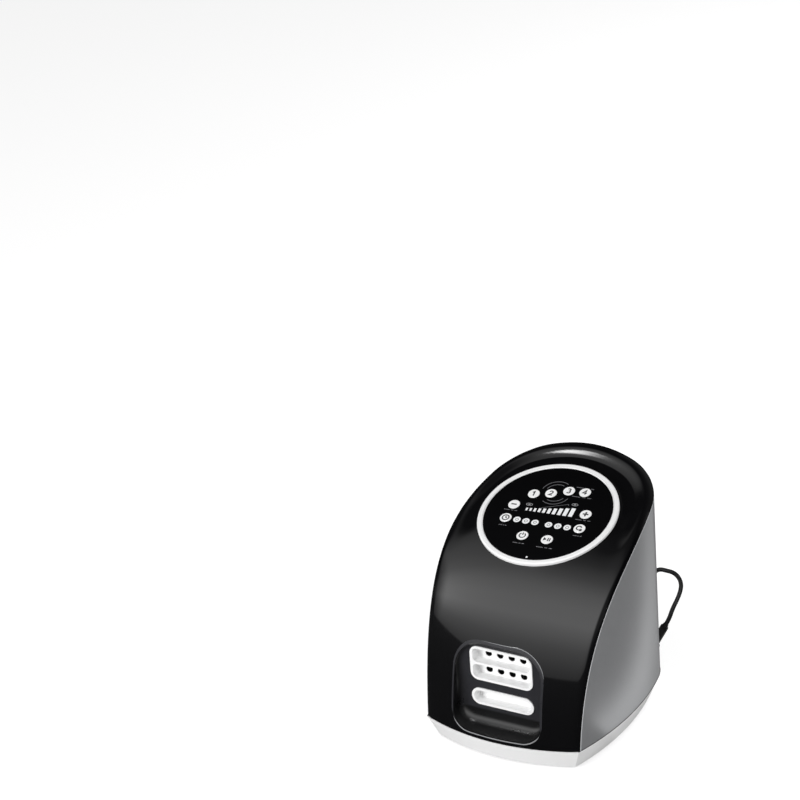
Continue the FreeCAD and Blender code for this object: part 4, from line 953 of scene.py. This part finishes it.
def highlightBeadRadius(x, height):
    # thickness of the painted highlight: full along the right of the top and along the lip,
    # dying out on both sides between them
    share = bayHighlightBead["leftShare"]
    aside = share + (1 - share) * fadeBetween(x, bayHighlightBead["fadeLeft"])
    top = fadeBetween(height, bayHighlightBead["fadeHigh"]) * bayHighlightBead["radius"] * aside
    lip = (1 - fadeBetween(height, bayHighlightBead["fadeLow"])) * bayHighlightBead["lipRadius"]
    return max(top, lip, bayHighlightBead["least"])


def makeBayHighlightBead():
    # a grey tube round the bay's mouth: painted highlight on the cover's rounded edge
    outline = bayOutline(bayHighlightBead["cornerSteps"])
    path, radii = [], []
    for (x0, z0), (x1, z1) in zip(outline, outline[1:] + outline[:1]):
        steps = max(int(math.hypot(x1 - x0, z1 - z0) / bayHighlightBead["step"]), 1)
        for i in range(steps):
            x, z = x0 + (x1 - x0) * i / steps, z0 + (z1 - z0) * i / steps
            path.append(Vector((x, frontY(x, z) + bayHighlightBead["sink"], z + rimTop)))
            radii.append(highlightBeadRadius(x, z))
    makeTube("bay_highlight_bead", path, radii, paintedHighlightGrey, closed=True, sides=10)


def makeTrayJoint():
    # black tube as painted shadow in the gap where the silver shell stands on the tray
    path = []
    start = -housing["sideFlare"]
    for centre, radius, last in planArcs:
        last = min(last, 90.0)
        steps = max(int(radius * math.radians(last - start) / trayJoint["step"]), 1)
        reach = radius - trayJoint["sink"]
        for i in range(steps):
            path.append(centre + towards(start + (last - start) * i / steps) * reach)
        start = last
    path.append(Vector((0, backY - trayJoint["sink"])))
    path += [Vector((-place.x, place.y)) for place in reversed(path[:-1])]
    path = [Vector((*place, rimTop)) for place in path]
    makeTube("tray_joint", path, [trayJoint["radius"]] * len(path), shadeBlack)


def makeShellHighlight():
    # lighter silver tube as painted highlight on the shell's edge, where the black cover ends
    wall = housing["wall"]
    rows = sheetRows(wall)[::shellHighlight["rowStep"]]
    right = [sweepPoint(t, edgeAt(t, wall), wall) for t in rows]
    right.append(Vector((0, backY, right[-1].z)))
    for side, word in ((1, "right"), (-1, "left")):
        path = []
        for point in right:
            middle = Vector((0, quarterCentre.y, point.z))
            place = point + (middle - point).normalized() * shellHighlight["sink"]
            path.append(Vector((side * place.x, place.y, place.z)))
        makeTube("shell_highlight_" + word, path, [shellHighlight["radius"]] * len(path), paintedHighlightSilver)


makeBayHighlightBead()
makeTrayJoint()
makeShellHighlight()
print("beads set")


# floor and world

studio = {
    "floorHalf": 12.0,
    "floorColour": "#c8c8c8",
    "floorGlow": 0.62,
    "daylight": 0.36,
    "background": 1.0,
}


def flatPiece(name, corners, material):
    data = bpy.data.meshes.new(name)
    data.from_pydata([tuple(corner) for corner in corners], [], [(0, 1, 2, 3)])
    data.materials.append(material)
    return newObject(name, data)


def seenMask(tree):
    # 1 for rays that show the background: straight to the camera, mirrored or through glass
    rays = addNode(tree, "LightPath").outputs
    first = addNode(tree, "Math", {"operation": "MAXIMUM"},
                    {0: rays["Is Camera Ray"], 1: rays["Is Glossy Ray"]})
    return addNode(tree, "Math", {"operation": "MAXIMUM"},
                   {0: first, 1: rays["Is Transmission Ray"]})


def makeFloor():
    material, tree = emptyMaterial("paleFloor")
    seen = seenMask(tree)
    paint = addNode(tree, "BsdfDiffuse", {"Color": linear(studio["floorColour"])})
    glow = addNode(tree, "Emission",
                   {"Color": linear("#ffffff"), "Strength": studio["floorGlow"]})
    both = addNode(tree, "AddShader", None, {0: paint, 1: glow})
    chosen = addNode(tree, "MixShader", None, {0: seen, 1: paint, 2: both})
    addNode(tree, "OutputMaterial", None, {"Surface": chosen})
    half = studio["floorHalf"]
    corners = [(-half, -half, 0), (half, -half, 0), (half, half, 0), (-half, half, 0)]
    floor = flatPiece("floor", corners, material)


def makeWorld():
    world = bpy.data.worlds.new("studio")
    bpy.context.scene.world = world
    world.use_nodes = True
    tree = world.node_tree
    tree.nodes.clear()
    light, white = [addNode(tree, "Background", {"Color": linear("#ffffff"), "Strength": level})
                    for level in (studio["daylight"], studio["background"])]
    chosen = addNode(tree, "MixShader", None, {0: seenMask(tree), 1: light, 2: white})
    addNode(tree, "OutputWorld", None, {"Surface": chosen})


# what the gloss mirrors: a dark tent with a strip light across its front, a softbox above the
# roll behind the dial, and pale strips on a black floor

tent = {
    "radius": 6.0,
    "segments": 64,
    "rings": 32,
    "flagHeight": 0.0004,
    # the strip light: (angle up from the front horizon, radiance)
    "levels": [(-180, 0.10), (-90, 0.03), (-40, 0.04), (-16, 0.06), (-7, 0.22), (2, 0.60),
               (14, 1.25), (22, 1.9), (30, 2.45), (42, 2.35), (54, 1.9), (66, 1.1), (80, 0.45),
               (96, 0.12), (120, 0.03), (140, 0.06), (165, 0.25), (180, 0.4)],
    # the same on the left, where the strip reaches over the top
    "leftLevels": [(-180, 0.10), (-90, 0.03), (-40, 0.05), (-25, 0.20), (-12, 0.60), (2, 0.66),
                   (14, 1.25), (22, 1.9), (30, 2.45), (42, 2.35), (54, 1.9), (66, 1.25),
                   (80, 0.90), (92, 0.70), (103, 0.42), (111, 0.10), (117, 0.03), (140, 0.02),
                   (180, 0.02)],
    "brightest": 2.5,
    # soft steps at shares of the radius to the right: (first, last, level before and after)
    "turnsRight": (-0.38, -0.04, 0.0, 1.0),
    "leftEnd": (-0.985, -0.93, 0.10, 1.0),
    "rightEnd": (0.60, 0.78, 1.0, 0.10),
}
softbox = {
    "place": (-0.112, -0.105, 0.56),
    "size": (0.156, 0.196),
    "level": 24.0,
    "fade": 0.45,
}
floorStrip = {
    # (place across, radiance)
    "levels": [(0.060, 0.25), (0.100, 0.25), (0.130, 0.72), (0.150, 1.08), (0.166, 0.66),
               (0.186, 0.03)],
    "brightest": 1.1,
    "from": -0.03,
    "to": 0.70,
    "height": 0.0008,
}


def hidden(item):
    # seen only in what gloss mirrors, and no part of the light on the object
    for kind in ("camera", "diffuse", "transmission", "volume_scatter", "shadow"):
        setattr(item, "visible_" + kind, False)


def levelRamp(tree, source, levels, brightest):
    # grey ramp through (place, radiance), as shares of the brightest
    first, last = levels[0][0], levels[-1][0]
    share = addNode(tree, "MapRange", {"From Min": first, "From Max": last}, {"Value": source})
    ramp = addNode(tree, "ValToRGB", None, {"Fac": share})
    elements = ramp.color_ramp.elements
    while len(elements) < len(levels):
        elements.new(0.5)
    for element, (place, level) in zip(elements, levels):
        element.position = (place - first) / (last - first)
        element.color = [level / brightest] * 3 + [1.0]
    return ramp.outputs["Color"]


def placeOn(tree):
    parts = addNode(tree, "SeparateXYZ", None, {0: addNode(tree, "TexCoord").outputs["Object"]})
    return parts.outputs


def tentMaterial():
    # black cloth with a long diffused light sewn in
    material, tree = emptyMaterial("tentCloth")
    place = placeOn(tree)
    ahead = addNode(tree, "Math", {"operation": "MULTIPLY", 1: -1.0}, {0: place["Y"]})
    angle = addNode(tree, "Math", {"operation": "ARCTAN2"}, {0: place["Z"], 1: ahead})
    degrees = addNode(tree, "Math", {"operation": "DEGREES"}, {0: angle})
    aside = addNode(tree, "Math", {"operation": "DIVIDE", 1: tent["radius"]}, {0: place["X"]})
    left, right = [levelRamp(tree, degrees, tent[name], tent["brightest"])
                   for name in ("leftLevels", "levels")]
    steps = []
    for name in ("turnsRight", "leftEnd", "rightEnd"):
        settings = dict(zip(("From Min", "From Max", "To Min", "To Max"), tent[name]))
        settings["interpolation_type"] = "SMOOTHSTEP"
        steps.append(addNode(tree, "MapRange", settings, {"Value": aside}))
    both = addNode(tree, "Mix", {"data_type": "RGBA"}, {0: steps[0], 6: left, 7: right})
    kept = addNode(tree, "Math", {"operation": "MULTIPLY"}, {0: steps[1], 1: steps[2]})
    level = addNode(tree, "Math", {"operation": "MULTIPLY", 1: tent["brightest"]}, {0: kept})
    glow = addNode(tree, "Emission", None, {"Color": both.outputs[2], "Strength": level})
    addNode(tree, "OutputMaterial", None, {"Surface": glow})
    return material


def softboxMaterial():
    # lit gauze that fades towards its rim and hides nothing behind it
    material, tree = emptyMaterial("softboxGauze")
    halves = [size / 2 for size in softbox["size"]]
    scale = [1 / half for half in halves]
    shift = [-middle / half for middle, half in zip(softbox["place"], halves)]
    place = addNode(tree, "TexCoord").outputs["Object"]
    centred = addNode(tree, "Mapping", {"Scale": (*scale, 0), "Location": (*shift, 0)},
                      {"Vector": place})
    inward = addNode(tree, "TexGradient", {"gradient_type": "SPHERICAL"}, {"Vector": centred})
    level = addNode(tree, "MapRange", {"interpolation_type": "SMOOTHSTEP", "From Min": 0.0,
                                       "From Max": softbox["fade"], "To Max": softbox["level"]},
                    {"Value": inward.outputs["Fac"]})
    glow = addNode(tree, "Emission", None, {"Strength": level})
    both = addNode(tree, "AddShader", None, {0: glow, 1: addNode(tree, "BsdfTransparent")})
    addNode(tree, "OutputMaterial", None, {"Surface": both})
    return material


def stripMaterial():
    # pale felt, lighter towards its middle
    material, tree = emptyMaterial("paleFelt")
    across = addNode(tree, "Math", {"operation": "ABSOLUTE"}, {0: placeOn(tree)["X"]})
    colour = levelRamp(tree, across, floorStrip["levels"], floorStrip["brightest"])
    glow = addNode(tree, "Emission", {"Strength": floorStrip["brightest"]}, {"Color": colour})
    addNode(tree, "OutputMaterial", None, {"Surface": glow})
    return material


def flagMaterial():
    # black velvet laid before the set: soaks up what would light the gloss from below
    return newFinish("blackVelvet", {"Roughness": 0.9}, (4.0, 2.0), ("#1c1c1c", "#262626"))


def makeTent():
    radius = tent["radius"]
    bpy.ops.mesh.primitive_uv_sphere_add(segments=tent["segments"], ring_count=tent["rings"],
                                         radius=radius)
    dome = bpy.context.object
    dome.name = "blackTent"
    dome.data.materials.append(tentMaterial())
    hidden(dome)
    bpy.ops.mesh.primitive_circle_add(vertices=tent["segments"], radius=radius,
                                      fill_type="NGON", location=(0, 0, tent["flagHeight"]))
    flag = bpy.context.object
    flag.name = "floorFlag"
    flag.data.materials.append(flagMaterial())
    hidden(flag)


def makeReflectors():
    middle = Vector(softbox["place"])
    wide, deep = [size / 2 for size in softbox["size"]]
    corners = [middle + Vector((x * wide, y * deep, 0))
               for x, y in ((-1, -1), (1, -1), (1, 1), (-1, 1))]
    hidden(flatPiece("rollSoftbox", corners, softboxMaterial()))
    felt = stripMaterial()
    inner, outer = floorStrip["levels"][0][0], floorStrip["levels"][-1][0]
    near, far, up = floorStrip["from"], floorStrip["to"], floorStrip["height"]
    for side, word in ((1, "right"), (-1, "left")):
        corners = [(side * inner, near, up), (side * outer, near, up),
                   (side * outer, far, up), (side * inner, far, up)]
        hidden(flatPiece("floorStrip_" + word, corners, felt))


lamps = {
    "key": {"place": (-1.0, -2.0, 0.9), "size": 1.0, "power": 40.0},
    "fill": {"place": (1.8, -0.5, 1.0), "size": 1.4, "power": 17.0},
    "top": {"place": (0.1, 0.5, 2.2), "size": 1.4, "power": 3.0},
    "back": {"place": (0.3, 2.0, 1.2), "size": 1.2, "power": 14.0},
}
lampTarget = Vector((0, 0, 0.12))


def makeLamps():
    for name, lamp in lamps.items():
        data = bpy.data.lights.new(name, "AREA")
        data.shape = "SQUARE"
        data.size = lamp["size"]
        data.energy = lamp["power"]
        item = newObject(name, data)
        aim = (lampTarget - Vector(lamp["place"])).to_track_quat("-Z", "Y")
        item.matrix_world = Matrix.Translation(lamp["place"]) @ aim.to_matrix().to_4x4()
        item.visible_glossy = False


makeFloor()
makeWorld()
makeTent()
makeReflectors()
makeLamps()
bpy.context.scene.view_settings.view_transform = "Standard"
print("stage and light set")
